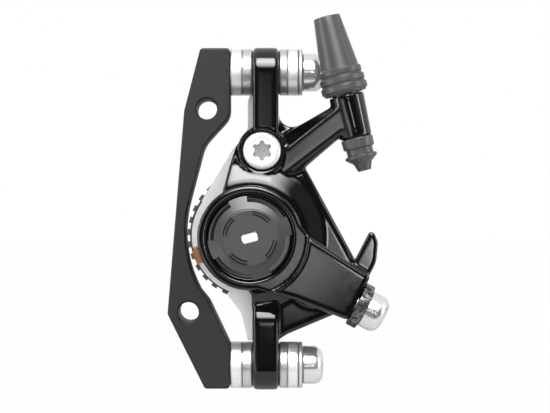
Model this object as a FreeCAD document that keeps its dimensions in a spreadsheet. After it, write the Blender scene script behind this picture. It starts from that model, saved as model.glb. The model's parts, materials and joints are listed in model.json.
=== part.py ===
import FreeCAD, Part
import math
import os

import Sketcher
from FreeCAD import Placement, Rotation, Vector

# A cable pulled disc brake caliper on its frame bracket, in millimetres.
# The origin lies on the axis of the pads and the arm, halfway between the pads.
# X points to the right, Y runs inboard along the wheel axle, Z points up.

os.makedirs("parts", exist_ok=True)

DOC = FreeCAD.newDocument("disc_brake")

SIZES = {
    # Values that several pieces share
    "overcut": 1.0,
    "small_round": 0.3,
    "medium_round": 0.4,
    "thread_run_out": 0.6,
    "slot_round_share": 0.97,
    # Bolt standards
    "post_spacing": 74.0,
    "post_centre_z": 4.64,
    "post_depth": 10.85,
    "frame_hole_spacing": 51.0,
    "frame_hole_tilt": 5.13,
    "frame_hole_radius": 2.55,
    "frame_hole_chamfer": 0.5,
    "frame_hole_inset": 8.12,
    "frame_hole_centre_z": 6.64,
    # Bracket
    "bracket_thickness": 11.5,
    "bracket_edge_radius": 0.5,
    "bracket_top_width": 7.46,
    "bracket_top_rise": 5.66,
    "bracket_hip_drop": 11.48,
    "bracket_neck_inset": 6.46,
    "bracket_neck_z": 23.1,
    "bracket_waist_inset": 13.09,
    "bracket_waist_z": -2.1,
    "bracket_knee_inset": 7.5,
    "bracket_knee_z": -13.3,
    "bracket_calf_inset": 5.3,
    "bracket_calf_z": -16.0,
    "bracket_foot_rise": 5.16,
    "bracket_bottom_drop": 5.49,
    "bracket_bottom_width": 6.33,
    "bracket_heel_inset": 15.67,
    "bracket_heel_z": -19.2,
    "bracket_shoulder_inset": 11.5,
    "bracket_shoulder_z": 31.7,
    "bracket_corner_radius": 1.0,
    "bracket_hip_radius": 5.0,
    "bracket_neck_radius": 8.0,
    "bracket_waist_radius": 30.0,
    "bracket_knee_radius": 4.0,
    "bracket_heel_radius": 2.0,
    "bracket_shoulder_radius": 3.0,
    # Mounting bolts and washers
    "mount_bolt_radius": 3.0,
    "mount_bolt_grip": 7.6,
    "mount_hole_end_gap": 0.6,
    "mount_head_radius": 4.8,
    "mount_head_length": 5.2,
    "mount_head_round": 2.4,
    "head_edge_radius": 0.45,
    "thread_clearance": 0.05,
    "washer_radius": 5.85,
    "washer_bore_clearance": 0.5,
    "washer_edge_radius": 0.35,
    "washer_seat_radius": 9.0,
    "washer_seat_gap": 0.06,
    "inner_cup_length": 3.1,
    "inner_ball_length": 2.5,
    "outer_ball_length": 2.0,
    "outer_cup_length": 2.95,
    "flat_washer_length": 1.0,
    "ball_washer_round": 0.7,
    # Sockets for the driver
    "socket_core_radius": 1.45,
    "socket_lobe_radius": 0.45,
    "socket_lobe_circle": 1.5,
    "socket_depth": 1.9,
    "body_socket_scale": 1.3,
    "dish_depth": 0.2,
    "mount_dish_radius": 2.3,
    "clamp_dish_radius": 2.2,
    "body_dish_radius": 3.3,
    # Rotor space and pads
    "rotor_offset": 71.5,
    "rotor_direction": 200.0,
    "rotor_space_radius": 80.8,
    "slot_half_width": 2.9,
    "pad_gap": 4.6,
    "lining_thickness": 2.2,
    "plate_thickness": 1.8,
    "pad_outer_reach": 8.3,
    "pad_inner_reach": 9.3,
    "pad_outer_half_width": 9.6,
    "pad_inner_half_width": 8.2,
    "pad_corner_radius": 2.2,
    "pad_tab_reach": 15.4,
    "pad_tab_half_width": 1.95,
    "pad_tab_round": 0.8,
    "lining_margin": 1.1,
    "pad_clearance": 0.35,
    "pocket_overlap": 0.5,
    # Pad spring
    "spring_leaf_thickness": 0.35,
    "spring_leaf_half_width": 3.6,
    "spring_leaf_overlap": 1.2,
    "spring_leaf_gap": 0.15,
    # Ears of the housing
    "ear_face": 0.65,
    "ear_length": 6.45,
    "ear_radius": 6.1,
    "ear_slot_half_travel": 1.6,
    "ear_edge_radius": 0.9,
    "ear_root_upper": 17.0,
    "ear_root_lower": -13.4,
    "ear_ramp_length": 6.5,
    "ear_ramp_depth": 3.2,
    "ear_ramp_radius": 6.0,
    # Outboard housing
    "web_front": 16.0,
    "dome_front": 18.0,
    "dome_flat_radius": 13.9,
    "dome_radius": 19.3,
    "dome_sink": 0.3,
    "dome_depth": 3.0,
    "dome_round": 4.0,
    "dome_edge_inset": 0.4,
    "hub_wall_radius": 12.6,
    "web_edge_radius": 1.1,
    "post_right": 7.2,
    "post_top": 31.0,
    "armpit_z": 25.5,
    "notch_x": 14.3,
    "notch_z": 16.6,
    "notch_radius": 1.2,
    "web_corner_x": 27.4,
    "web_corner_z": -7.6,
    "web_corner_radius": 3.0,
    "web_tail_x": 24.6,
    "web_tail_z": -17.9,
    "web_tail_radius": 4.0,
    "web_low_x": 9.3,
    "web_low_z": -24.3,
    "web_low_radius": 3.0,
    "crotch_x": 6.4,
    "crotch_z": -26.2,
    "left_low_x": 0.4,
    "left_low_z": -14.5,
    "left_waist_x": -4.0,
    "left_waist_z": -9.0,
    "left_high_x": -6.9,
    "left_high_z": 11.3,
    "left_rib_x": -4.76,
    "left_rib_z": 19.3,
    "left_top_x": -3.5,
    "left_top_z": 23.2,
    "left_top_rise": 3.0,
    "left_radius": 1.5,
    # Body bolts
    "body_bolt_x": 2.96,
    "body_bolt_z": 21.66,
    "low_body_bolt_x": 16.0,
    "low_body_bolt_z": -10.9,
    "body_bolt_radius": 2.5,
    "body_head_radius": 4.78,
    "body_head_length": 2.8,
    "body_head_round": 1.1,
    "body_head_front": 17.95,
    "body_bolt_inboard_reach": 10.0,
    "boss_radius": 6.2,
    "boss_front": 17.2,
    "boss_round": 0.7,
    "boss_set_back": 1.0,
    "head_clearance": 0.3,
    # Cable stop
    "cable_tilt": 13.94,
    "cable_top_x": 18.99,
    "cable_top_z": 54.66,
    "cable_depth": 19.4,
    "stop_top": 19.9,
    "stop_bottom": 30.9,
    "stop_top_radius": 4.45,
    "stop_bottom_radius": 3.9,
    "stop_bore_depth": 7.5,
    "branch_half_depth": 3.9,
    "branch_root_low_x": 7.7,
    "branch_root_low_z": 12.25,
    "branch_root_high_x": 4.75,
    "branch_root_high_z": 23.9,
    "branch_root_crest": 7.6,
    "branch_root_front": 16.0,
    "branch_root_lip": 11.3,
    "branch_root_back": 6.0,
    "branch_tip_low": 28.2,
    "branch_tip_low_inset": 0.48,
    "branch_tip_high": 21.6,
    "branch_tip_high_inset": 1.69,
    "branch_tip_crest": 6.0,
    "branch_tip_lip": 21.5,
    "branch_root_round": 3.8,
    "branch_edge_radius": 1.6,
    "branch_crest_radius": 0.8,
    "gusset_rise": 0.7,
    "gusset_reach": 8.0,
    "gusset_slope": 0.42,
    "gusset_radius": 3.3,
    # Cable parts
    "wire_radius": 0.9,
    "wire_clearance": 0.35,
    "ferrule_radius": 2.6,
    "adjuster_length": 17.0,
    "adjuster_thread_length": 6.6,
    "adjuster_thread_radius": 3.4,
    "adjuster_head_radius": 3.9,
    "adjuster_head_top": 5.0,
    "adjuster_neck_radius": 2.95,
    "adjuster_ferrule_depth": 9.0,
    "boot_length": 19.6,
    "boot_top_radius": 3.3,
    "boot_cone_end": 12.7,
    "boot_cone_radius": 4.8,
    "boot_rib_radius_one": 5.3,
    "boot_rib_radius_two": 5.6,
    "boot_rib_radius_three": 5.8,
    "boot_groove_depth": 0.45,
    "boot_rib_pitch": 2.05,
    "boot_rib_slope": 0.35,
    "boot_rib_round": 0.27,
    "boot_groove_round": 0.2,
    "boot_rim_radius": 5.2,
    "boot_gap": 0.3,
    "boot_throat_play": 0.2,
    "boot_taper": 2.0,
    "boot_lip_length": 1.2,
    "seal_collar_length": 2.4,
    "seal_collar_radius": 4.0,
    "seal_neck_radius": 3.3,
    "seal_neck_end": 4.1,
    "seal_flange_radius": 4.0,
    "seal_flange_end": 5.0,
    "seal_cone_radius": 2.3,
    "seal_cone_end": 6.3,
    "seal_tip_radius": 1.63,
    "seal_length": 8.3,
    "seal_bore_radius": 0.95,
    "seal_round": 0.3,
    "seal_fine_round": 0.18,
    "seal_cone_blend": 1.2,
    "seal_step": 0.3,
    "seal_draft": 0.1,
    # Ball and ramp drive
    "cavity_radius": 10.5,
    "cavity_front": 15.5,
    "pocket_floor": 6.5,
    "cam_clearance": 0.1,
    "fixed_cam_length": 2.8,
    "ball_radius": 1.5,
    "ball_circle_radius": 8.25,
    "ball_depth": 12.0,
    "ball_count": 3.0,
    "ball_groove_clearance": 0.06,
    "cage_thickness": 1.0,
    "cage_wall": 2.05,
    "cage_ball_clearance": 0.15,
    "drive_flange_front": 11.3,
    "drive_flange_back": 8.9,
    "drive_flange_radius": 10.0,
    "spindle_radius": 6.0,
    "spindle_clearance": 0.08,
    "spindle_hex_radius": 5.9,
    "spindle_hex_start": 18.2,
    "spindle_front": 21.7,
    "foot_screw_radius": 4.0,
    "thrust_washer_thickness": 0.4,
    "thrust_gap": 0.1,
    "thrust_bore_play": 0.4,
    "foot_radius": 8.4,
    "foot_clearance": 0.35,
    "foot_edge_radius": 0.4,
    "magnet_radius": 2.6,
    "magnet_thickness": 1.0,
    # Arm
    "arm_angle": 27.3,
    "arm_back": 18.4,
    "hub_front": 24.0,
    "arm_front": 26.2,
    "hub_radius": 12.95,
    "hub_edge_radius": 0.9,
    "lever_inner_radius": 14.4,
    "lever_length": 30.6,
    "lever_root_upper": 10.4,
    "lever_flare_x": 7.0,
    "lever_flare_upper": 9.6,
    "lever_mid_x": 12.6,
    "lever_mid_upper": 7.05,
    "lever_end_upper": 5.4,
    "lever_end_lower": 6.9,
    "lever_knee_x": 16.7,
    "lever_knee_lower": 8.4,
    "lever_flare_lower": 10.4,
    "lever_corner_radius": 1.2,
    "lever_blend_radius": 6.0,
    "lever_edge_radius": 1.1,
    "knob_recess_radius": 10.75,
    "knob_recess_floor": 22.0,
    "horn_root_inset": 5.0,
    "horn_outer_inset": 0.05,
    "horn_tip_height": 15.1,
    "horn_tip_inset": 3.7,
    "horn_shoulder_inset": 2.0,
    "horn_shoulder_height": 13.6,
    "horn_bend_height": 9.0,
    "horn_half_depth": 2.1,
    "horn_round": 0.7,
    "horn_bend_radius": 7.0,
    "clamp_depth": 22.9,
    "clamp_offset": 2.3,
    "clamp_washer_length": 2.4,
    "clamp_washer_radius": 5.65,
    "clamp_washer_teeth": 28.0,
    "clamp_tooth_depth": 0.22,
    "clamp_play": 0.2,
    "clamp_bolt_radius": 2.5,
    "clamp_bolt_grip": 9.0,
    "clamp_head_radius": 4.65,
    "clamp_head_length": 5.2,
    "clamp_head_round": 2.4,
    # Return spring and seals
    "spring_wire_radius": 0.55,
    "spring_coil_radius": 9.2,
    "spring_turns": 1.5,
    "spring_pitch": 1.25,
    "spring_space": 1.0,
    "spring_groove_depth": 2.9,
    "dust_seal_thickness": 0.3,
    "dust_seal_width": 1.0,
    "dust_seal_play": 0.1,
    # Outboard knob
    "knob_radius": 10.4,
    "knob_back_gap": 0.5,
    "knob_flange_front": 24.9,
    "knob_rim_front": 23.8,
    "knob_dome_front": 25.2,
    "knob_dome_radius": 7.15,
    "knob_dome_round": 0.5,
    "knob_notch_radius": 8.8,
    "knob_notch_span": 63.0,
    "knob_notch_start": 31.0,
    "knob_count": 4.0,
    "knob_slit_inner": 5.6,
    "knob_slit_width": 0.42,
    "knob_slit_ridge": 0.32,
    "knob_slit_span": 45.0,
    "knob_slit_start": 40.0,
    "knob_slit_depth": 0.7,
    "tang_half_length": 1.95,
    "tang_half_width": 1.05,
    "tang_clearance": 0.2,
    "tang_round_share": 0.62,
    "tang_tilt": 15.0,
    "tang_recess": 0.35,
    "detent_thickness": 0.3,
    "detent_width": 1.6,
    "detent_inset": 0.3,
    # Inboard side
    "inboard_back": 12.5,
    "inboard_radius": 15.6,
    "inboard_top": 37.6,
    "inboard_top_radius": 3.4,
    "inboard_left": -0.84,
    "inboard_shoulder_z": 27.0,
    "inboard_shoulder_radius": 4.0,
    "inboard_flank_x": -4.78,
    "inboard_flank_z": 22.7,
    "inboard_flank_radius": 2.0,
    "inboard_tangent_x": -13.0,
    "inboard_tangent_z": 9.2,
    "inboard_lower_x": -6.15,
    "inboard_lower_z": -15.5,
    "inboard_calf_x": -2.7,
    "inboard_calf_z": -20.0,
    "inboard_calf_radius": 6.0,
    "inboard_foot_x": -0.9,
    "inboard_foot_z": -27.4,
    "inboard_shrink": 0.6,
    "inboard_edge_radius": 0.8,
    "knob_boss_radius": 8.0,
    "knob_boss_length": 1.8,
    "inboard_screw_radius": 4.0,
    "inboard_knob_radius": 17.3,
    "inboard_knob_root": 16.6,
    "inboard_knob_ribs": 32.0,
    "inboard_knob_gap": 0.5,
    "inboard_knob_length": 5.5,
    "inboard_knob_step_radius": 11.5,
    "inboard_knob_step": 1.4,
    "inboard_knob_round": 0.8,
    "inboard_knob_skin": 1.2,
}


class Size:
    """A number together with the spreadsheet expression that gives it."""

    def __init__(self, number, text):
        self.number = float(number)
        self.text = text

    def __add__(self, other):
        other = as_size(other)
        return Size(self.number + other.number, f"({self.text} + {other.text})")

    def __sub__(self, other):
        other = as_size(other)
        return Size(self.number - other.number, f"({self.text} - {other.text})")

    def __mul__(self, other):
        other = as_size(other)
        return Size(self.number * other.number, f"({self.text} * {other.text})")

    def __truediv__(self, other):
        other = as_size(other)
        return Size(self.number / other.number, f"({self.text} / {other.text})")

    def __radd__(self, other):
        return as_size(other) + self

    def __rsub__(self, other):
        return as_size(other) - self

    def __rmul__(self, other):
        return as_size(other) * self

    def __rtruediv__(self, other):
        return as_size(other) / self

    def __neg__(self):
        return Size(-self.number, f"(-{self.text})")


def as_size(value):
    if isinstance(value, Size):
        return value
    return Size(value, repr(float(value)))


def sine(angle):
    return Size(math.sin(math.radians(angle.number)), f"sin({angle.text} * 1 deg)")


def cosine(angle):
    return Size(math.cos(math.radians(angle.number)), f"cos({angle.text} * 1 deg)")


class Sheet:
    """The spreadsheet; each alias reads back as a Size."""

    def __init__(self, table):
        self.table = table
        cells = DOC.addObject("Spreadsheet::Sheet", "Sizes")
        for row, (alias, number) in enumerate(table.items(), start=1):
            cells.set(f"A{row}", alias)
            cells.set(f"B{row}", str(number))
            cells.setAlias(f"B{row}", alias)
        DOC.recompute()

    def __getattr__(self, alias):
        return Size(self.table[alias], f"Sizes.{alias}")


d = Sheet(SIZES)
ZERO = Size(0.0, "0")

# Helpers for bodies and sketches


def bind(item, path, size):
    item.setExpression(path, as_size(size).text)


def new_body(label):
    body = DOC.addObject("PartDesign::Body", label)
    body.Label = label
    return body


def origin_of(body, role):
    return next(item for item in body.Origin.OriginFeatures if item.Role == role)


def new_sketch(body, plane, level=ZERO):
    """A sketch on a plane of the body's origin, moved along the plane's normal by level."""
    sketch = body.newObject("Sketcher::SketchObject", f"{body.Name}_sketch")
    sketch.AttachmentSupport = [(origin_of(body, plane), "")]
    sketch.MapMode = "FlatFace"
    bind(sketch, "AttachmentOffset.Base.z", level)
    return sketch


def pin_point(sketch, geometry, point, x, y):
    """Holds a point of the sketch at x, y with two bound distances."""
    for kind, size in (("DistanceX", as_size(x)), ("DistanceY", as_size(y))):
        if size.number < 0:
            rule = Sketcher.Constraint(kind, geometry, point, -1, 1, -size.number)
            size = -size
        else:
            rule = Sketcher.Constraint(kind, -1, 1, geometry, point, size.number)
        index = sketch.addConstraint(rule)
        bind(sketch, f"Constraints[{index}]", size)


def flat(x, y):
    return Vector(as_size(x).number, as_size(y).number, 0)


def rounding(before, corner, after, radius):
    """Ends and middle of the arc that rounds one corner."""
    arriving = (corner - before).normalize()
    leaving = (after - corner).normalize()
    turn = arriving.getAngle(leaving)
    reach = radius * math.tan(turn / 2)
    bisector = (leaving - arriving).normalize()
    rise = radius / math.cos(turn / 2) - radius
    return corner - arriving * reach, corner + bisector * rise, corner + leaving * reach


def outline(sketch, corners):
    """A closed outline of straight sides; a corner with a radius gets a tangent arc."""
    spots = [flat(corner[0], corner[1]) for corner in corners]
    count = len(corners)
    starts = list(spots)
    ends = list(spots)
    middles = [None] * count
    for index, corner in enumerate(corners):
        if len(corner) == 3:
            before = spots[index - 1]
            after = spots[(index + 1) % count]
            ends[index], middles[index], starts[index] = rounding(
                before, spots[index], after, as_size(corner[2]).number
            )
    sides = []
    for index in range(count):
        following = (index + 1) % count
        side = Part.LineSegment(starts[index], ends[following])
        sides.append(sketch.addGeometry(side, False))
    for index, corner in enumerate(corners):
        arriving = sides[index - 1]
        leaving = sides[index]
        if middles[index] is None:
            sketch.addConstraint(Sketcher.Constraint("Coincident", arriving, 2, leaving, 1))
            pin_point(sketch, leaving, 1, corner[0], corner[1])
            continue
        arc = sketch.addGeometry(Part.Arc(ends[index], middles[index], starts[index]), False)
        swapped = sketch.getPoint(arc, 1).distanceToPoint(ends[index]) > 1e-6
        first = 2 if swapped else 1
        second = 1 if swapped else 2
        spot = sketch.addGeometry(Part.Point(spots[index]), True)
        sketch.addConstraint([
            Sketcher.Constraint("Tangent", arriving, 2, arc, first),
            Sketcher.Constraint("Tangent", arc, second, leaving, 1),
            Sketcher.Constraint("PointOnObject", spot, 1, arriving),
            Sketcher.Constraint("PointOnObject", spot, 1, leaving),
        ])
        pin_point(sketch, spot, 1, corner[0], corner[1])
        radius = as_size(corner[2])
        rule = sketch.addConstraint(Sketcher.Constraint("Radius", arc, radius.number))
        bind(sketch, f"Constraints[{rule}]", radius)


def circle(sketch, x, y, radius):
    radius = as_size(radius)
    ring = Part.Circle(flat(x, y), Vector(0, 0, 1), radius.number)
    geometry = sketch.addGeometry(ring, False)
    rule = sketch.addConstraint(Sketcher.Constraint("Radius", geometry, radius.number))
    bind(sketch, f"Constraints[{rule}]", radius)
    pin_point(sketch, geometry, 3, x, y)


def ring_sector(sketch, inner, outer, start, span):
    """A piece of a ring about the sketch's origin, from the angle start over span."""
    stop = start + span
    ways = [(cosine(angle), sine(angle)) for angle in (start, stop)]
    middle = start + span / 2
    half = (cosine(middle), sine(middle))

    def spot(radius, way):
        return flat(radius * way[0], radius * way[1])

    near = sketch.addGeometry(
        Part.Arc(spot(inner, ways[0]), spot(inner, half), spot(inner, ways[1])), False)
    far = sketch.addGeometry(
        Part.Arc(spot(outer, ways[0]), spot(outer, half), spot(outer, ways[1])), False)
    for arc, radius in ((near, inner), (far, outer)):
        sketch.addConstraint(Sketcher.Constraint("Coincident", arc, 3, -1, 1))
        rule = sketch.addConstraint(Sketcher.Constraint("Radius", arc, radius.number))
        bind(sketch, f"Constraints[{rule}]", radius)
    for point, way in ((1, ways[0]), (2, ways[1])):
        side = sketch.addGeometry(Part.LineSegment(spot(inner, way), spot(outer, way)), False)
        sketch.addConstraint([
            Sketcher.Constraint("Coincident", side, 1, near, point),
            Sketcher.Constraint("Coincident", side, 2, far, point),
            Sketcher.Constraint("PointOnObject", -1, 1, side),
        ])
    for point, way in ((1, ways[0]), (2, ways[1])):
        size = outer * way[1]
        if size.number < 0:
            rule = Sketcher.Constraint("DistanceY", far, point, -1, 1, -size.number)
            size = -size
        else:
            rule = Sketcher.Constraint("DistanceY", -1, 1, far, point, size.number)
        index = sketch.addConstraint(rule)
        bind(sketch, f"Constraints[{index}]", size)


# Helpers for features


def slab(body, corners, front, back):
    """Pads an outline in X and Z from the depth back forward to the depth front."""
    sketch = new_sketch(body, "XZ_Plane", -as_size(back))
    outline(sketch, corners)
    return pad(body, sketch, as_size(back) - front)


def pad(body, sketch, length):
    feature = body.newObject("PartDesign::Pad", f"{body.Name}_pad")
    feature.Profile = sketch
    bind(feature, "Length", length)
    DOC.recompute()
    return feature


def pocket(body, sketch, length):
    before = body.Shape.Volume
    feature = body.newObject("PartDesign::Pocket", f"{body.Name}_pocket")
    feature.Profile = sketch
    bind(feature, "Length", length)
    DOC.recompute()
    if body.Shape.Volume >= before:
        raise ValueError(f"pocket of {body.Label} cuts nothing")
    return feature


def turn(body, corners, axis):
    """Revolves an outline; axis V keeps (radius, Y), axis H keeps (X, radius)."""
    sketch = new_sketch(body, "XY_Plane")
    outline(sketch, corners)
    return revolve(body, sketch, axis)


def turn_upright(body, corners):
    """Revolves an outline of (radius, Z) about the Z axis."""
    sketch = new_sketch(body, "XZ_Plane")
    outline(sketch, corners)
    return revolve(body, sketch, "V_Axis")


def revolve(body, sketch, axis):
    feature = body.newObject("PartDesign::Revolution", f"{body.Name}_turned")
    feature.Profile = sketch
    feature.ReferenceAxis = (sketch, [axis])
    feature.Angle = 360
    DOC.recompute()
    return feature


def polar(body, feature, axis, count):
    pattern = body.newObject("PartDesign::PolarPattern", f"{body.Name}_pattern")
    pattern.Originals = [feature]
    pattern.Axis = (origin_of(body, axis), [""])
    pattern.Angle = 360
    bind(pattern, "Occurrences", count)
    body.Tip = pattern
    DOC.recompute()
    return pattern


def fillet(body, base, test, radius):
    names = [f"Edge{n}" for n, edge in enumerate(base.Shape.Edges, start=1) if test(edge)]
    feature = body.newObject("PartDesign::Fillet", f"{body.Name}_fillet")
    feature.Base = (base, names)
    bind(feature, "Radius", radius)
    DOC.recompute()
    return feature


def chamfer(body, base, test, length):
    names = [f"Edge{n}" for n, edge in enumerate(base.Shape.Edges, start=1) if test(edge)]
    feature = body.newObject("PartDesign::Chamfer", f"{body.Name}_chamfer")
    feature.Base = (base, names)
    bind(feature, "Size", length)
    DOC.recompute()
    return feature


def lies_at(axis, size):
    """A test for edges that lie in one plane across the axis."""
    level = as_size(size).number

    def test(edge):
        box = edge.BoundBox
        low = getattr(box, f"{axis}Min")
        high = getattr(box, f"{axis}Max")
        return abs(low - level) < 1e-4 and abs(high - level) < 1e-4

    return test


def either(*tests):
    return lambda edge: any(test(edge) for test in tests)


def move(item, x=ZERO, y=ZERO, z=ZERO, axis=Vector(0, 1, 0), angle=ZERO):
    """Turns an object about a fixed axis, then moves it, both bound to the sheet."""
    item.Placement = Placement(Vector(0, 0, 0), Rotation(axis, as_size(angle).number))
    for name, size in (("x", x), ("y", y), ("z", z)):
        bind(item, f"Placement.Base.{name}", size)
    bind(item, "Placement.Rotation.Angle", angle)
    return item


def bar(label, radius, length, axis, x=ZERO, y=ZERO, z=ZERO):
    """A cylinder from x, y, z along one world axis."""
    item = DOC.addObject("Part::Cylinder", label)
    bind(item, "Radius", radius)
    bind(item, "Height", length)
    ways = {
        "X": (Vector(0, 1, 0), 90),
        "Y": (Vector(-1, 0, 0), 90),
        "Z": (Vector(0, 0, 1), 0),
    }
    way, angle = ways[axis]
    return move(item, x, y, z, way, as_size(angle))


def fuse(label, *items):
    joined = DOC.addObject("Part::MultiFuse", label)
    joined.Shapes = list(items)
    joined.Refine = True
    return joined


def cut(label, base, *tools):
    result = DOC.addObject("Part::Cut", label)
    result.Base = base
    result.Tool = tools[0] if len(tools) == 1 else fuse(f"{label}_tools", *tools)
    result.Refine = True
    return result


def common(label, first, second):
    result = DOC.addObject("Part::Common", label)
    result.Base = first
    result.Tool = second
    return result


def group(label, *items):
    compound = DOC.addObject("Part::Compound", label)
    compound.Links = list(items)
    return compound


NODES = []


def node(item, label):
    item.Label = label
    NODES.append(item)
    return item


# Places shared by several pieces

BOLT_Y = -d.post_depth
UPPER_Z = d.post_centre_z + d.post_spacing / 2
LOWER_Z = d.post_centre_z - d.post_spacing / 2
BOLT_HEIGHTS = {"upper": UPPER_Z, "lower": LOWER_Z}
EAR_FAR_FACE = d.ear_face + d.ear_length
INNER_SEAT_X = d.ear_face - d.inner_ball_length
INNER_CUP_X = INNER_SEAT_X - d.washer_seat_gap
FACE_X = INNER_CUP_X - d.inner_cup_length
OUTER_SEAT_X = EAR_FAR_FACE + d.outer_ball_length
OUTER_CUP_X = OUTER_SEAT_X + d.washer_seat_gap
OUTER_CUP_END = OUTER_CUP_X + d.outer_cup_length
HEAD_X = OUTER_CUP_END + d.flat_washer_length
BRACKET_FRONT = BOLT_Y - d.bracket_thickness / 2
BRACKET_BACK = BOLT_Y + d.bracket_thickness / 2
WASHER_BORE = d.mount_bolt_radius + d.washer_bore_clearance
PLATE_FACE = d.pad_gap / 2 + d.lining_thickness
PLATE_BACK = PLATE_FACE + d.plate_thickness
PAD_ANGLE = 360 - d.rotor_direction
CABLE_Y = -d.cable_depth
ARM_BACK = -d.arm_back
BODY_BOLTS = {
    "upper": (d.body_bolt_x, d.body_bolt_z),
    "lower": (d.low_body_bolt_x, d.low_body_bolt_z),
}
BODY_HEAD_SEAT = d.body_head_length - d.body_head_front
CAVITY_FRONT = -d.cavity_front
CAM_RADIUS = d.cavity_radius - d.cam_clearance
SPINDLE_HOLE = d.spindle_radius + d.spindle_clearance
SCREW_HOLE = d.foot_screw_radius + d.thread_clearance
THRUST_FRONT = d.thrust_gap - d.drive_flange_back
FOOT_FRONT = THRUST_FRONT + d.thrust_washer_thickness
RECESS_FLOOR = -d.knob_recess_floor
KNOB_BACK = RECESS_FLOOR - d.knob_back_gap
TANG_END = d.tang_recess - d.knob_dome_front
FERRULE_HOLE = d.ferrule_radius + d.thread_clearance
WIRE_HOLE = d.wire_radius + d.wire_clearance


def along_cable(distance):
    """X and Z of a point on the cable axis, measured down from the boot's top."""
    x = d.cable_top_x + distance * sine(d.cable_tilt)
    z = d.cable_top_z - distance * cosine(d.cable_tilt)
    return x, z


def on_cable(item, distance):
    """Stands an upright piece on the cable axis, its local origin at the distance."""
    x, z = along_cable(distance)
    return move(item, x, CABLE_Y, z, Vector(0, -1, 0), d.cable_tilt)


# Bolts


def bolt(label, shank, head, dish_radius, socket_scale):
    """A bolt along X with a rounded, dished head; its seat lies at X zero."""
    shank_radius, shank_length = shank
    head_radius, head_length, head_round = head
    dish_floor = head_length - d.dish_depth
    body = new_body(label)
    turn(body, [
        (-shank_length, ZERO),
        (-shank_length, shank_radius),
        (ZERO, shank_radius),
        (ZERO, head_radius, d.head_edge_radius),
        (head_length, head_radius, head_round),
        (head_length, dish_radius),
        (dish_floor, dish_radius - d.dish_depth),
        (dish_floor, ZERO),
    ], "H_Axis")
    core = new_sketch(body, "YZ_Plane", head_length)
    circle(core, ZERO, ZERO, d.socket_core_radius * socket_scale)
    pocket(body, core, d.socket_depth)
    lobe = new_sketch(body, "YZ_Plane", head_length)
    circle(lobe, ZERO, d.socket_lobe_circle * socket_scale, d.socket_lobe_radius * socket_scale)
    polar(body, pocket(body, lobe, d.socket_depth), "X_Axis", 6)
    return body


def make_mount_bolts():
    length = HEAD_X - FACE_X + d.mount_bolt_grip
    bolts = []
    for name, height in BOLT_HEIGHTS.items():
        item = bolt(f"mount_bolt_{name}", (d.mount_bolt_radius, length),
                    (d.mount_head_radius, d.mount_head_length, d.mount_head_round),
                    d.mount_dish_radius, 1)
        bolts.append(move(item, HEAD_X, BOLT_Y, height))
    node(group("mount_bolt_pair", *bolts), "mount_bolts")


def make_body_bolts():
    length = d.body_bolt_inboard_reach - BODY_HEAD_SEAT
    bolts = []
    for name, (x, z) in BODY_BOLTS.items():
        item = bolt(f"body_bolt_{name}", (d.body_bolt_radius, length),
                    (d.body_head_radius, d.body_head_length, d.body_head_round),
                    d.body_dish_radius, d.body_socket_scale)
        bolts.append(move(item, x, BODY_HEAD_SEAT, z, Vector(0, 0, -1), as_size(90)))
    node(group("body_bolt_pair", *bolts), "body_bolts")


# Washers


def washer(label, start, stop, radius, start_round, stop_round):
    body = new_body(label)
    turn(body, [
        (start, WASHER_BORE),
        (start, radius, start_round),
        (stop, radius, stop_round),
        (stop, WASHER_BORE),
    ], "H_Axis")
    return body


def seat_ball(label, x, radius):
    ball = DOC.addObject("Part::Sphere", label)
    bind(ball, "Radius", radius)
    return move(ball, x)


def washer_stack(label, make):
    pieces = []
    for name, height in BOLT_HEIGHTS.items():
        pieces.append(move(make(f"{label}_{name}"), ZERO, BOLT_Y, height))
    node(group(f"{label}_pair", *pieces), label)


def make_washers():
    rim = d.washer_radius
    seat = d.washer_seat_radius
    hollow = seat + d.washer_seat_gap
    seat_rise = Size(
        math.sqrt(seat.number ** 2 - rim.number ** 2),
        f"sqrt({seat.text} ^ 2 - {rim.text} ^ 2)",
    )
    bulge = seat - seat_rise
    inner_centre = INNER_SEAT_X + seat_rise
    outer_centre = OUTER_SEAT_X - seat_rise
    edge = d.washer_edge_radius

    def inner_cup(label):
        ring = washer(f"{label}_ring", FACE_X, INNER_CUP_X, rim, edge, edge)
        return cut(label, ring, seat_ball(f"{label}_ball", inner_centre, hollow))

    def inner_ball(label):
        ring = washer(f"{label}_ring", INNER_SEAT_X - bulge, d.ear_face, rim, edge,
                      d.ball_washer_round)
        return common(label, ring, seat_ball(f"{label}_ball", inner_centre, seat))

    def outer_ball(label):
        ring = washer(f"{label}_ring", EAR_FAR_FACE, OUTER_SEAT_X + bulge, rim,
                      d.ball_washer_round, edge)
        return common(label, ring, seat_ball(f"{label}_ball", outer_centre, seat))

    def outer_cup(label):
        ring = washer(f"{label}_ring", OUTER_CUP_X, OUTER_CUP_END, rim, edge, edge)
        return cut(label, ring, seat_ball(f"{label}_ball", outer_centre, hollow))

    def flat_washer(label):
        return washer(label, OUTER_CUP_END, HEAD_X, rim, edge, edge)

    washer_stack("inner_cup_washers", inner_cup)
    washer_stack("inner_ball_washers", inner_ball)
    washer_stack("outer_ball_washers", outer_ball)
    washer_stack("outer_cup_washers", outer_cup)
    washer_stack("flat_washers", flat_washer)


# Bracket


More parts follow.
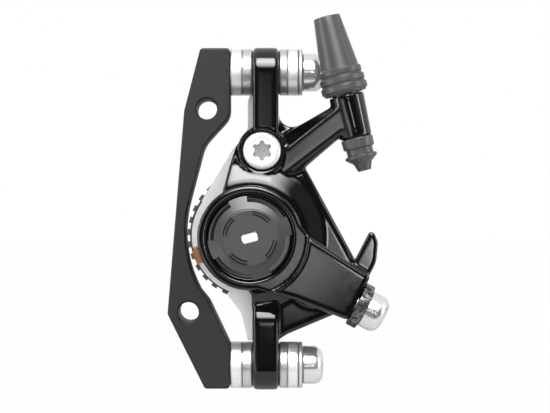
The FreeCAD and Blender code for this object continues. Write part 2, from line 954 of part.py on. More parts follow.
def make_bracket():
    body = new_body("bracket_plate")
    top = UPPER_Z + d.bracket_top_rise
    bottom = LOWER_Z - d.bracket_bottom_drop
    small = d.bracket_corner_radius
    knee = d.bracket_knee_radius
    plate = slab(body, [
        (FACE_X - d.bracket_top_width, top, small),
        (FACE_X, top, small),
        (FACE_X, UPPER_Z - d.bracket_hip_drop, d.bracket_hip_radius),
        (FACE_X - d.bracket_neck_inset, d.bracket_neck_z, d.bracket_neck_radius),
        (FACE_X - d.bracket_waist_inset, d.bracket_waist_z, d.bracket_waist_radius),
        (FACE_X - d.bracket_knee_inset, d.bracket_knee_z, knee),
        (FACE_X - d.bracket_calf_inset, d.bracket_calf_z, knee),
        (FACE_X, LOWER_Z + d.bracket_foot_rise, small),
        (FACE_X, bottom, small),
        (FACE_X - d.bracket_bottom_width, bottom, small),
        (FACE_X - d.bracket_heel_inset, d.bracket_heel_z, d.bracket_heel_radius),
        (FACE_X - d.bracket_shoulder_inset, d.bracket_shoulder_z, d.bracket_shoulder_radius),
    ], BRACKET_FRONT, BRACKET_BACK)
    rims = either(lies_at("Y", BRACKET_FRONT), lies_at("Y", BRACKET_BACK))
    fillet(body, plate, rims, d.bracket_edge_radius)

    frame = new_sketch(body, "XZ_Plane", -BRACKET_FRONT)
    centre_x = FACE_X - d.frame_hole_inset
    reach_x = d.frame_hole_spacing / 2 * sine(d.frame_hole_tilt)
    reach_z = d.frame_hole_spacing / 2 * cosine(d.frame_hole_tilt)
    spots = [
        (centre_x + reach_x, d.frame_hole_centre_z + reach_z),
        (centre_x - reach_x, d.frame_hole_centre_z - reach_z),
    ]
    for x, z in spots:
        circle(frame, x, z, d.frame_hole_radius)
    drilled = pocket(body, frame, d.bracket_thickness)

    def hole_mouth(edge):
        if not (lies_at("Y", BRACKET_FRONT)(edge) or lies_at("Y", BRACKET_BACK)(edge)):
            return False
        return abs(edge.BoundBox.XLength - 2 * d.frame_hole_radius.number) < 1e-3

    chamfer(body, drilled, hole_mouth, d.frame_hole_chamfer)

    posts = new_sketch(body, "YZ_Plane", FACE_X)
    for height in BOLT_HEIGHTS.values():
        circle(posts, BOLT_Y, height, d.mount_bolt_radius + d.thread_clearance)
    pocket(body, posts, d.mount_bolt_grip + d.mount_hole_end_gap)
    node(body, "mount_bracket")


# Pads


def pad_corners(clearance):
    """The pad's outline with its tab; local X points to the wheel axle."""
    outer = -d.pad_outer_reach - clearance
    inner = d.pad_inner_reach + clearance
    tab = d.pad_tab_half_width + clearance
    wide = d.pad_outer_half_width + clearance
    narrow = d.pad_inner_half_width + clearance
    tip = d.pad_tab_reach + clearance
    large = d.pad_corner_radius
    return [
        (outer, -wide, large),
        (inner, -narrow, large),
        (inner, -tab),
        (tip, -tab, d.pad_tab_round),
        (tip, tab, d.pad_tab_round),
        (inner, tab),
        (inner, narrow, large),
        (outer, wide, large),
    ]


def lining_corners():
    outer = d.lining_margin - d.pad_outer_reach
    inner = d.pad_inner_reach - d.lining_margin
    wide = d.pad_outer_half_width - d.lining_margin
    narrow = d.pad_inner_half_width - d.lining_margin
    large = d.pad_corner_radius
    return [
        (outer, -wide, large),
        (inner, -narrow, large),
        (inner, narrow, large),
        (outer, wide, large),
    ]


def pad_piece(label, corners, front, back):
    body = new_body(label)
    slab(body, corners, front, back)
    return move(body, angle=PAD_ANGLE)


def make_pads():
    face = d.pad_gap / 2
    plain = pad_corners(ZERO)
    node(pad_piece("outboard_plate_body", plain, -PLATE_BACK, -PLATE_FACE), "outboard_pad_plate")
    node(pad_piece("outboard_lining_body", lining_corners(), -PLATE_FACE, -face),
         "outboard_pad_lining")
    node(pad_piece("inboard_plate_body", plain, PLATE_FACE, PLATE_BACK), "inboard_pad_plate")
    node(pad_piece("inboard_lining_body", lining_corners(), face, PLATE_FACE),
         "inboard_pad_lining")
    leaf = new_body("pad_spring_leaf")
    start = -d.pad_outer_reach - d.pad_clearance + d.spring_leaf_gap / 2
    half = d.spring_leaf_half_width
    slab(leaf, [
        (start - d.spring_leaf_thickness, -half),
        (start, -half),
        (start, half),
        (start - d.spring_leaf_thickness, half),
    ], -PLATE_FACE - d.spring_leaf_overlap, PLATE_FACE + d.spring_leaf_overlap)
    node(move(leaf, angle=PAD_ANGLE), "pad_spring")


def pad_cavity(label, front, back):
    """The pocket for a pad, its tab slot and the recess for the leaf spring."""
    pocket_body = pad_piece(f"{label}_pad", pad_corners(d.pad_clearance), front, back)
    recess = new_body(f"{label}_leaf")
    start = -d.pad_outer_reach - d.pad_clearance
    depth = start - d.spring_leaf_thickness - d.spring_leaf_gap
    half = d.spring_leaf_half_width + d.spring_leaf_gap
    slab(recess, [
        (depth, -half),
        (ZERO, -half),
        (ZERO, half),
        (depth, half),
    ], front, back)
    return [pocket_body, move(recess, angle=PAD_ANGLE)]


def rotor_space():
    """The room that the rotor's rim needs in the inboard half, up to the plane where the halves meet."""
    x = d.rotor_offset * cosine(d.rotor_direction)
    z = d.rotor_offset * sine(d.rotor_direction)
    return bar("rotor_space", d.rotor_space_radius, d.slot_half_width * 2 + d.overcut, "Y",
               x, -d.slot_half_width - d.overcut, z)


# Outboard housing


def web_corners(shrink):
    """The right hand outline that both housing halves share, pulled in by shrink."""
    return [
        (d.post_right - shrink, d.armpit_z),
        (d.notch_x - shrink, d.notch_z, d.notch_radius),
        (d.web_corner_x - shrink, d.web_corner_z, d.web_corner_radius),
        (d.web_tail_x - shrink, d.web_tail_z + shrink, d.web_tail_radius),
        (d.web_low_x - shrink, d.web_low_z + shrink, d.web_low_radius),
        (d.crotch_x - shrink, d.crotch_z),
    ]


def ear(label, tip, root, shoulder):
    """One slotted ear, padded along X; its post runs to the root, and slopes from the shoulder on."""
    body = new_body(label)
    half = d.ear_slot_half_travel + d.ear_radius
    sketch = new_sketch(body, "YZ_Plane", d.ear_face)
    corner = d.ear_radius
    outline(sketch, [
        (BOLT_Y - half + d.ear_ramp_depth, root),
        (BOLT_Y - half, shoulder, d.ear_ramp_radius),
        (BOLT_Y - half, tip, corner),
        (BOLT_Y + half, tip, corner),
        (BOLT_Y + half, root),
    ])
    block = pad(body, sketch, d.ear_length)
    ends = either(lies_at("X", d.ear_face), lies_at("X", EAR_FAR_FACE))
    low = min(tip.number, root.number) + 1e-3
    high = max(tip.number, root.number) - 1e-3

    def rim(edge):
        box = edge.BoundBox
        at_root = abs(box.ZMin - root.number) < 1e-4 and abs(box.ZMax - root.number) < 1e-4
        return ends(edge) and not at_root and box.ZMax > low and box.ZMin < high

    fillet(body, block, rim, d.ear_edge_radius)
    return body


def ear_slot(label, height):
    body = new_body(label)
    radius = d.mount_bolt_radius + d.washer_bore_clearance
    half = d.ear_slot_half_travel + radius
    corner = radius * d.slot_round_share
    sketch = new_sketch(body, "YZ_Plane", d.ear_face - d.overcut)
    outline(sketch, [
        (BOLT_Y - half, height - radius, corner),
        (BOLT_Y + half, height - radius, corner),
        (BOLT_Y + half, height + radius, corner),
        (BOLT_Y - half, height + radius, corner),
    ])
    pad(body, sketch, d.ear_length + d.overcut * 2)
    return body


def make_web():
    body = new_body("web_plate")
    small = d.left_radius
    web = slab(body, [
        (d.ear_face, d.post_top),
        (d.post_right, d.post_top),
        *web_corners(ZERO),
        (d.left_low_x, d.crotch_z),
        (d.left_low_x, d.left_low_z),
        (d.left_waist_x, d.left_waist_z),
        (d.left_high_x, d.left_high_z),
        (d.left_rib_x, d.left_rib_z, small),
        (d.left_top_x, d.left_top_z, small),
        (d.ear_face, d.left_top_z + d.left_top_rise),
    ], -d.web_front, -d.slot_half_width)
    fillet(body, web, lies_at("Y", -d.web_front), d.web_edge_radius)
    return body


def make_dome():
    """The round shoulder about the arm's axis, kept inside the web's left edge."""
    body = new_body("dome_shoulder")
    front = -d.dome_front
    rim = d.dome_sink - d.web_front
    turn(body, [
        (ZERO, front),
        (d.dome_flat_radius, front, d.dome_round),
        (d.dome_radius, rim),
        (d.dome_radius, rim + d.dome_depth),
        (ZERO, rim + d.dome_depth),
    ], "V_Axis")
    keep = new_body("dome_limit")
    slab(keep, [
        (d.ear_face, d.post_top),
        (d.post_right, d.post_top),
        *web_corners(d.dome_edge_inset),
        (d.left_low_x, d.crotch_z),
        (d.left_low_x, d.left_low_z),
        (d.left_waist_x, d.left_waist_z),
        (d.left_high_x, d.left_high_z),
        (d.left_rib_x, d.left_rib_z),
        (d.left_top_x, d.left_top_z),
        (d.ear_face, d.left_top_z + d.left_top_rise),
    ], front, ZERO)
    return common("dome_kept", body, keep)


def branch_section(label, low, high, crest, front, lip, back, low_round):
    """A section across the branch from low to high; the crest is its front upper edge."""
    run = high[0] - low[0]
    rise = high[1] - low[1]
    length = Size(math.hypot(run.number, rise.number), f"sqrt({run.text} ^ 2 + {rise.text} ^ 2)")
    sketch = DOC.addObject("Sketcher::SketchObject", label)
    across = Vector(run.number, 0, rise.number)
    turned = Rotation(across, Vector(0, -1, 0), Vector(0, 0, 0), "XYZ")
    sketch.Placement = Placement(Vector(low[0].number, 0, low[1].number), turned)
    bind(sketch, "Placement.Base.x", low[0])
    bind(sketch, "Placement.Base.z", low[1])
    outline(sketch, [
        (ZERO, back),
        (ZERO, front, low_round),
        (crest, front, d.branch_crest_radius),
        (length, lip, d.branch_crest_radius),
        (length, back),
    ])
    return sketch


def make_branch():
    """The branch that carries the cable stop, lofted from the body out to the stop."""
    root = branch_section(
        "branch_root",
        (d.branch_root_low_x, d.branch_root_low_z),
        (d.branch_root_high_x, d.branch_root_high_z),
        d.branch_root_crest, d.branch_root_front, d.branch_root_lip, d.branch_root_back,
        d.branch_root_round)
    low_x, low_z = along_cable(d.branch_tip_low)
    high_x, high_z = along_cable(d.branch_tip_high)
    tip = branch_section(
        "branch_tip",
        (low_x - d.branch_tip_low_inset, low_z),
        (high_x - d.branch_tip_high_inset, high_z),
        d.branch_tip_crest, d.cable_depth + d.branch_half_depth, d.branch_tip_lip,
        d.cable_depth - d.branch_half_depth, d.branch_edge_radius)
    limb = DOC.addObject("Part::Loft", "branch_limb")
    limb.Sections = [root, tip]
    limb.Solid = True
    limb.Ruled = True
    gusset = new_body("armpit_gusset")
    reach = d.gusset_reach
    foot_z = d.armpit_z + d.gusset_rise
    slab(gusset, [
        (d.post_right - d.overcut, foot_z + reach),
        (d.post_right, foot_z + reach),
        (d.post_right, foot_z, d.gusset_radius),
        (d.post_right + reach, foot_z + reach * d.gusset_slope),
        (d.post_right + reach, foot_z - d.overcut),
        (d.post_right - d.overcut, foot_z - d.overcut),
    ], -d.branch_root_lip, -d.branch_root_back)
    return [limb, gusset]


def make_stop():
    body = new_body("cable_stop")
    length = d.stop_bottom - d.stop_top
    turn_upright(body, [
        (ZERO, -length),
        (d.stop_bottom_radius, -length, d.small_round),
        (d.stop_top_radius, ZERO, d.small_round),
        (ZERO, ZERO),
    ])
    return on_cable(body, d.stop_top)


def stop_bore():
    body = new_body("stop_bore")
    length = d.stop_bottom - d.stop_top
    thread = d.adjuster_thread_radius + d.thread_clearance
    turn_upright(body, [
        (ZERO, -length - d.overcut),
        (WIRE_HOLE, -length - d.overcut),
        (WIRE_HOLE, -d.stop_bore_depth),
        (thread, -d.stop_bore_depth),
        (thread, d.overcut),
        (ZERO, d.overcut),
    ])
    return on_cable(body, d.stop_top)


def make_outboard_housing():
    wall = bar("hub_wall", d.hub_wall_radius, d.dome_front - d.slot_half_width, "Y",
               ZERO, -d.dome_front, ZERO)
    adds = [
        ear("ear_upper", UPPER_Z + d.ear_radius, d.ear_root_upper, d.ear_root_upper + d.ear_ramp_length),
        ear("ear_lower", LOWER_Z - d.ear_radius, d.ear_root_lower, d.ear_root_lower - d.ear_ramp_length),
        make_web(),
        make_dome(),
        *make_branch(),
        make_stop(),
        wall,
    ]
    cuts = [
        bar("cam_cavity", d.cavity_radius, d.cavity_front - d.slot_half_width, "Y",
            ZERO, CAVITY_FRONT, ZERO),
        bar("spindle_hole", SPINDLE_HOLE, d.dome_front, "Y",
            ZERO, -d.dome_front - d.overcut, ZERO),
        stop_bore(),
        *pad_cavity("outboard", -d.pocket_floor, d.pocket_overlap - d.slot_half_width),
    ]
    for name, height in BOLT_HEIGHTS.items():
        cuts.append(ear_slot(f"ear_slot_{name}", height))
    boss_back = -d.slot_half_width - d.boss_set_back
    for name, (x, z) in BODY_BOLTS.items():
        boss = new_body(f"boss_{name}")
        turn(boss, [
            (ZERO, -d.boss_front),
            (d.boss_radius, -d.boss_front, d.boss_round),
            (d.boss_radius, boss_back),
            (ZERO, boss_back),
        ], "V_Axis")
        adds.append(move(boss, x, ZERO, z))
        head = d.body_head_radius + d.head_clearance
        cuts.append(bar(f"head_hole_{name}", head, d.body_head_front, "Y",
                        x, BODY_HEAD_SEAT - d.body_head_front, z))
        cuts.append(bar(f"shank_hole_{name}", d.body_bolt_radius + d.thread_clearance,
                        d.body_head_front, "Y", x, BODY_HEAD_SEAT - d.overcut, z))
    node(cut("outboard_half", fuse("outboard_solid", *adds), *cuts), "outboard_housing")


# Inboard housing


def make_inboard_housing():
    body = new_body("inboard_plate")
    shrink = d.inboard_shrink
    plate = slab(body, [
        (d.inboard_left, d.inboard_top, d.inboard_top_radius),
        (d.post_right - shrink, d.inboard_top, d.inboard_top_radius),
        *web_corners(shrink),
        (d.inboard_foot_x, d.inboard_foot_z),
        (d.inboard_calf_x, d.inboard_calf_z, d.inboard_calf_radius),
        (d.inboard_lower_x, d.inboard_lower_z),
        (d.left_waist_x, d.left_waist_z),
        (d.inboard_tangent_x, d.inboard_tangent_z),
        (d.inboard_flank_x, d.inboard_flank_z, d.inboard_flank_radius),
        (d.inboard_left, d.inboard_shoulder_z, d.inboard_shoulder_radius),
    ], -d.slot_half_width, d.inboard_back)
    fillet(body, plate, lies_at("Y", d.inboard_back), d.inboard_edge_radius)
    disc = new_body("inboard_disc")
    turn(disc, [
        (ZERO, ZERO),
        (d.inboard_radius, ZERO),
        (d.inboard_radius, d.inboard_back, d.inboard_edge_radius),
        (d.knob_boss_radius, d.inboard_back),
        (d.knob_boss_radius, d.inboard_back + d.knob_boss_length),
        (ZERO, d.inboard_back + d.knob_boss_length),
    ], "V_Axis")
    foot_hole = d.foot_radius + d.foot_clearance
    floor = PLATE_BACK + d.thrust_gap
    seat = floor + d.plate_thickness + d.thrust_gap * 2
    cuts = [
        rotor_space(),
        bar("inboard_foot_hole", foot_hole, seat - d.slot_half_width, "Y",
            ZERO, d.slot_half_width, ZERO),
        bar("inboard_screw_hole", d.inboard_screw_radius + d.thread_clearance,
            d.inboard_back + d.knob_boss_length, "Y", ZERO, d.slot_half_width, ZERO),
        *pad_cavity("inboard", d.slot_half_width - d.pocket_overlap, floor),
    ]
    thread_start = d.slot_half_width + d.overcut
    for name, (x, z) in BODY_BOLTS.items():
        cuts.append(bar(f"inboard_thread_{name}", d.body_bolt_radius + d.thread_clearance,
                        d.body_bolt_inboard_reach + d.thread_run_out + thread_start, "Y",
                        x, -thread_start, z))
    node(cut("inboard_half", fuse("inboard_solid", body, disc), *cuts), "inboard_housing")


# Ball and ramp drive


def tang_corners(clearance):
    """The round ended tang by which a knob turns its screw."""
    long = d.tang_half_length + clearance
    wide = d.tang_half_width + clearance
    corner = wide * d.tang_round_share
    return [
        (-long, -wide, corner),
        (long, -wide, corner),
        (long, wide, corner),
        (-long, wide, corner),
    ]


def make_drive():
    groove = d.ball_radius + d.ball_groove_clearance
    track_y = -d.ball_depth

    def track(label):
        ring = DOC.addObject("Part::Torus", label)
        bind(ring, "Radius1", d.ball_circle_radius)
        bind(ring, "Radius2", groove)
        return move(ring, ZERO, track_y, ZERO, Vector(-1, 0, 0), as_size(90))

    race = new_body("fixed_cam_ring")
    back = CAVITY_FRONT + d.fixed_cam_length
    bore = SPINDLE_HOLE + d.spindle_clearance
    turn(race, [
        (bore, CAVITY_FRONT),
        (CAM_RADIUS, CAVITY_FRONT, d.medium_round),
        (CAM_RADIUS, back),
        (bore, back),
    ], "V_Axis")
    node(cut("fixed_cam_race", race, track("fixed_track")), "fixed_cam")

    cam = new_body("drive_cam_body")
    turn(cam, [
        (SCREW_HOLE, -d.drive_flange_back),
        (d.drive_flange_radius, -d.drive_flange_back, d.small_round),
        (d.drive_flange_radius, -d.drive_flange_front),
        (d.spindle_radius, -d.drive_flange_front),
        (d.spindle_radius, -d.spindle_hex_start),
        (SCREW_HOLE, -d.spindle_hex_start),
    ], "V_Axis")
    hexagon = DOC.addObject("Part::Prism", "drive_hexagon")
    hexagon.Polygon = 6
    bind(hexagon, "Circumradius", d.spindle_hex_radius)
    bind(hexagon, "Height", d.spindle_front - d.spindle_hex_start)
    move(hexagon, ZERO, -d.spindle_front, ZERO, Vector(-1, 0, 0), as_size(90))
    bore_tool = bar("drive_bore", SCREW_HOLE, d.spindle_front, "Y", ZERO, -d.spindle_front, ZERO)
    driven = cut("drive_cam_cut", fuse("drive_cam_solid", cam, hexagon), track("drive_track"),
                 bore_tool)
    node(move(driven, angle=d.arm_angle), "drive_cam")

    cage = new_body("ball_cage_ring")
    half = d.cage_thickness / 2
    turn(cage, [
        (d.ball_circle_radius - d.cage_wall, track_y - half),
        (d.ball_circle_radius + d.cage_wall, track_y - half),
        (d.ball_circle_radius + d.cage_wall, track_y + half),
        (d.ball_circle_radius - d.cage_wall, track_y + half),
    ], "V_Axis")
    window = new_sketch(cage, "XZ_Plane", half - track_y)
    circle(window, d.ball_circle_radius, ZERO, d.ball_radius + d.cage_ball_clearance)
    polar(cage, pocket(cage, window, d.cage_thickness), "Y_Axis", d.ball_count)
    node(cage, "ball_cage")

    balls = []
    count = int(SIZES["ball_count"])
    for number in range(count):
        turned = 360 * number / d.ball_count
        ball = DOC.addObject("Part::Sphere", f"ramp_ball_{number + 1}")
        bind(ball, "Radius", d.ball_radius)
        x = d.ball_circle_radius * cosine(turned)
        z = d.ball_circle_radius * sine(turned)
        balls.append(move(ball, x, track_y, z))
    node(group("ramp_ball_set", *balls), "ramp_balls")

    thrust = new_body("thrust_ring")
    thrust_bore = SCREW_HOLE + d.thrust_bore_play
    turn(thrust, [
        (thrust_bore, THRUST_FRONT),
        (d.foot_radius, THRUST_FRONT),
        (d.foot_radius, FOOT_FRONT),
        (thrust_bore, FOOT_FRONT),
    ], "V_Axis")
    node(thrust, "thrust_washer")

    screw = new_body("foot_screw_stem")
    turn(screw, [
        (ZERO, FOOT_FRONT - d.thrust_gap),
        (ZERO, -d.spindle_front),
        (d.foot_screw_radius, -d.spindle_front, d.medium_round),
        (d.foot_screw_radius, FOOT_FRONT - d.thrust_gap, d.medium_round),
    ], "V_Axis")
    tang = new_body("foot_screw_tang")
    slab(tang, tang_corners(ZERO), TANG_END, d.overcut - d.spindle_front)
    move(tang, angle=-d.tang_tilt)
    node(fuse("foot_screw_solid", screw, tang), "foot_screw")


def foot(label, front, back, screw_side_front):
    """A pressure foot; its magnet pocket faces the pad."""
    body = new_body(label)
    turn(body, [
        (ZERO, front),
        (d.foot_radius, front, d.foot_edge_radius),
        (d.foot_radius, back, d.foot_edge_radius),
        (ZERO, back),
    ], "V_Axis")
    pocket_y = back - d.magnet_thickness if screw_side_front else front
    hole = bar(f"{label}_magnet_hole", d.magnet_radius + d.thread_clearance,
               d.magnet_thickness, "Y", ZERO, pocket_y, ZERO)
    magnet = bar(f"{label}_magnet", d.magnet_radius, d.magnet_thickness, "Y",
                 ZERO, pocket_y, ZERO)
    return cut(f"{label}_cut", body, hole), magnet


def make_feet():
    outer, outer_magnet = foot("outboard_foot", FOOT_FRONT, -PLATE_BACK, True)
    node(outer, "pressure_foot")
    node(outer_magnet, "outboard_magnet")
    foot_back = PLATE_BACK + d.plate_thickness
    inner, inner_magnet = foot("inboard_foot_disc", PLATE_BACK, foot_back, False)
    node(inner, "inboard_foot")
    node(inner_magnet, "inboard_magnet")


# Arm


def lever_corners():
    """The lever's outline; local X runs along the arm, local Z across it."""
    blend = d.lever_blend_radius
    corner = d.lever_corner_radius
    return [
        (ZERO, d.lever_root_upper),
        (d.lever_flare_x, d.lever_flare_upper, blend),
        (d.lever_mid_x, d.lever_mid_upper, blend),
        (d.lever_length, d.lever_end_upper, corner),
        (d.lever_length, -d.lever_end_lower, corner),
        (d.lever_knee_x, -d.lever_knee_lower, blend),
        (d.lever_flare_x, -d.lever_flare_lower, blend),
        (ZERO, -d.lever_root_upper),
    ]


def make_arm():
    hub = new_body("arm_hub")
    turn(hub, [
        (ZERO, -d.hub_front),
        (d.hub_radius, -d.hub_front, d.hub_edge_radius),
        (d.hub_radius, ARM_BACK),
        (ZERO, ARM_BACK),
    ], "V_Axis")

    plate = new_body("arm_plate")
    lever = slab(plate, lever_corners(), -d.arm_front, ARM_BACK)
    fillet(plate, lever, lies_at("Y", -d.arm_front), d.lever_edge_radius)
    step = bar("arm_step", d.lever_inner_radius, d.arm_front - d.hub_front + d.overcut, "Y",
               ZERO, -d.arm_front - d.overcut, ZERO)

    horn = new_body("arm_horn")
    end = d.lever_length
    fin = slab(horn, [
        (end - d.horn_root_inset, ZERO),
        (end - d.horn_root_inset, d.horn_tip_height, d.horn_round),
        (end - d.horn_tip_inset, d.horn_tip_height, d.horn_round),
        (end - d.horn_shoulder_inset, d.horn_shoulder_height, d.horn_round),
        (end - d.horn_outer_inset, d.horn_bend_height, d.horn_bend_radius),
        (end - d.horn_outer_inset, ZERO),
    ], CABLE_Y - d.horn_half_depth, CABLE_Y + d.horn_half_depth)
    rims = either(lies_at("Y", CABLE_Y - d.horn_half_depth),
                  lies_at("Y", CABLE_Y + d.horn_half_depth))
    fillet(horn, fin, rims, d.horn_round)

    hexagon = DOC.addObject("Part::Prism", "arm_hexagon")
    hexagon.Polygon = 6
    bind(hexagon, "Circumradius", d.spindle_hex_radius + d.thread_clearance)
    bind(hexagon, "Height", d.arm_front - d.arm_back + d.overcut * 2)
    move(hexagon, ZERO, -d.arm_front - d.overcut, ZERO, Vector(-1, 0, 0), as_size(90))

    recess = bar("knob_recess", d.knob_recess_radius,
                 d.hub_front - d.knob_recess_floor + d.overcut, "Y",
                 ZERO, -d.hub_front - d.overcut, ZERO)
    coil_room = d.spring_wire_radius + d.spring_space / 2
    groove = new_body("spring_groove")
    turn(groove, [
        (d.spring_coil_radius - coil_room, ARM_BACK - d.spring_groove_depth),
        (d.spring_coil_radius + coil_room, ARM_BACK - d.spring_groove_depth),
        (d.spring_coil_radius + coil_room, ARM_BACK + d.overcut),
        (d.spring_coil_radius - coil_room, ARM_BACK + d.overcut),
    ], "V_Axis")
    clamp_hole = bar("clamp_hole", d.clamp_bolt_radius + d.thread_clearance,
                     d.clamp_bolt_grip + d.thread_run_out + d.overcut, "X",
                     end - d.clamp_bolt_grip - d.thread_run_out, -d.clamp_depth, -d.clamp_offset)
    wire_x = end - d.wire_radius
    wire_reach = d.horn_tip_height + d.overcut
    wire_floor = bar("wire_groove_floor", d.wire_radius, wire_reach * 2, "Z",
                     wire_x, CABLE_Y, -wire_reach)
    wire_mouth = new_body("wire_groove_mouth")
    slab(wire_mouth, [
        (wire_x, -wire_reach),
        (end + d.overcut, -wire_reach),
        (end + d.overcut, wire_reach),
        (wire_x, wire_reach),
    ], CABLE_Y - d.wire_radius, CABLE_Y + d.wire_radius)
    casting = fuse("arm_solid", cut("arm_lever", plate, step), hub, horn)
    arm = cut("arm_casting", casting, hexagon, recess, groove, clamp_hole, wire_floor, wire_mouth)
    node(move(arm, angle=d.arm_angle), "actuating_arm")

    disc = new_body("clamp_disc")
    stop = end + d.clamp_washer_length
    bore = d.clamp_bolt_radius + d.clamp_play
    turn(disc, [
        (end, bore),
        (end, d.clamp_washer_radius, d.clamp_play),
        (stop, d.clamp_washer_radius, d.clamp_play),
        (stop, bore),
    ], "H_Axis")
    tooth = new_sketch(disc, "YZ_Plane", stop)
    circle(tooth, ZERO, d.clamp_washer_radius, d.clamp_tooth_depth)
    polar(disc, pocket(disc, tooth, d.clamp_washer_length), "X_Axis", d.clamp_washer_teeth)
    node(on_arm(disc, ZERO), "clamp_washer")

    screw = bolt("clamp_screw", (d.clamp_bolt_radius, d.clamp_bolt_grip + d.clamp_washer_length),
                 (d.clamp_head_radius, d.clamp_head_length, d.clamp_head_round),
                 d.clamp_dish_radius, 1)
    node(on_arm(screw, stop), "clamp_bolt")


def on_arm(item, distance):
    """Places a piece on the clamp bolt's axis, its local origin at the distance."""
    x = distance * cosine(d.arm_angle) - d.clamp_offset * sine(d.arm_angle)
    z = -distance * sine(d.arm_angle) - d.clamp_offset * cosine(d.arm_angle)
    return move(item, x, -d.clamp_depth, z, Vector(0, 1, 0), d.arm_angle)


def make_return_spring():
    spring = new_body("spring_coil")
    start = -d.dome_front - d.spring_wire_radius - d.thread_clearance
    wire = new_sketch(spring, "XY_Plane")
    circle(wire, d.spring_coil_radius, start, d.spring_wire_radius)
    DOC.recompute()
    coil = spring.newObject("PartDesign::AdditiveHelix", "coil")
    coil.Profile = wire
    coil.ReferenceAxis = (wire, ["V_Axis"])
    coil.Mode = "pitch-height-angle"
    bind(coil, "Pitch", d.spring_pitch)
    bind(coil, "Height", d.spring_pitch * d.spring_turns)
    coil.Reversed = True
    node(spring, "return_spring")

    seal = new_body("dust_seal_ring")
    front = -d.dome_front - d.dust_seal_thickness
    inner = SPINDLE_HOLE + d.dust_seal_play
    turn(seal, [
        (inner, front),
        (inner + d.dust_seal_width, front),
        (inner + d.dust_seal_width, -d.dome_front),
        (inner, -d.dome_front),
    ], "V_Axis")
    node(seal, "dust_seal")


# Outboard knob


def make_outboard_knob():
    body = new_body("outboard_knob_cap")
    turn(body, [
        (ZERO, KNOB_BACK),
        (ZERO, -d.knob_dome_front),
        (d.knob_dome_radius, -d.knob_dome_front, d.knob_dome_round),
        (d.knob_dome_radius, -d.knob_flange_front),
        (d.knob_radius, -d.knob_rim_front, d.small_round),
        (d.knob_radius, KNOB_BACK),
    ], "V_Axis")
    notch = new_sketch(body, "XZ_Plane", d.knob_dome_front)
    ring_sector(notch, d.knob_notch_radius, d.knob_radius + d.overcut, d.knob_notch_start,
                d.knob_notch_span)
    polar(body, pocket(body, notch, d.knob_dome_front + KNOB_BACK + d.overcut), "Y_Axis", d.knob_count)
    slit = new_sketch(body, "XZ_Plane", d.knob_dome_front)
    for inner in (d.knob_slit_inner, d.knob_slit_inner + d.knob_slit_width + d.knob_slit_ridge):
        ring_sector(slit, inner, inner + d.knob_slit_width, d.knob_slit_start, d.knob_slit_span)
    polar(body, pocket(body, slit, d.knob_slit_depth), "Y_Axis", d.knob_count)
    hole = new_body("knob_tang_hole")
    slab(hole, tang_corners(d.tang_clearance), -d.knob_dome_front - d.overcut,
         KNOB_BACK + d.overcut)
    move(hole, angle=-d.tang_tilt)
    node(cut("outboard_knob_cut", body, hole), "outboard_knob")

    ring = new_body("detent_ring")
    outer = d.knob_notch_radius - d.detent_inset
    turn(ring, [
        (outer - d.detent_width, RECESS_FLOOR - d.detent_thickness),
        (outer, RECESS_FLOOR - d.detent_thickness),
        (outer, RECESS_FLOOR),
        (outer - d.detent_width, RECESS_FLOOR),
    ], "V_Axis")
    node(ring, "knob_detent")


# Inboard knob


def make_inboard_knob():
    foot_back = PLATE_BACK + d.plate_thickness
    boss_end = d.inboard_back + d.knob_boss_length
    front = d.inboard_back + d.inboard_knob_gap
    back = front + d.inboard_knob_length
    step = back - d.inboard_knob_step
    skin = back - d.inboard_knob_skin

    screw = new_body("inboard_screw_stem")
    turn(screw, [
        (ZERO, foot_back + d.thrust_gap),
        (d.inboard_screw_radius, foot_back + d.thrust_gap, d.medium_round),
        (d.inboard_screw_radius, boss_end, d.medium_round),
        (ZERO, boss_end),
    ], "V_Axis")
    tang = new_body("inboard_screw_tang")
    slab(tang, tang_corners(ZERO), boss_end - d.overcut, skin)
    node(fuse("inboard_screw_solid", screw, tang), "inboard_screw")

    body = new_body("inboard_knob_cap")
    hollow = d.knob_boss_radius + d.inboard_knob_gap
    turn(body, [
        (ZERO, boss_end + d.inboard_knob_gap),
        (hollow, boss_end + d.inboard_knob_gap),
        (hollow, front),
        (d.inboard_knob_radius, front, d.inboard_knob_round),
        (d.inboard_knob_radius, step, d.inboard_knob_round),
        (d.inboard_knob_step_radius, step),
        (d.inboard_knob_step_radius, back, d.inboard_knob_round),
        (ZERO, back),
    ], "V_Axis")
    groove = new_sketch(body, "XZ_Plane", -front)
    pitch = 360 / d.inboard_knob_ribs
    ring_sector(groove, d.inboard_knob_root, d.inboard_knob_radius + d.overcut, ZERO, pitch / 2)
    polar(body, pocket(body, groove, d.inboard_knob_length), "Y_Axis", d.inboard_knob_ribs)
    hole = new_body("inboard_tang_hole")
    slab(hole, tang_corners(d.tang_clearance), front, back + d.overcut)
    node(cut("inboard_knob_cut", body, hole), "inboard_knob")

    ring = new_body("inboard_detent_ring")
    inner = hollow + d.overcut
    turn(ring, [
        (inner, d.inboard_back),
        (inner + d.detent_width, d.inboard_back),
        (inner + d.detent_width, d.inboard_back + d.detent_thickness),
        (inner, d.inboard_back + d.detent_thickness),
    ], "V_Axis")
    node(ring, "inboard_detent")


# Cable stop parts


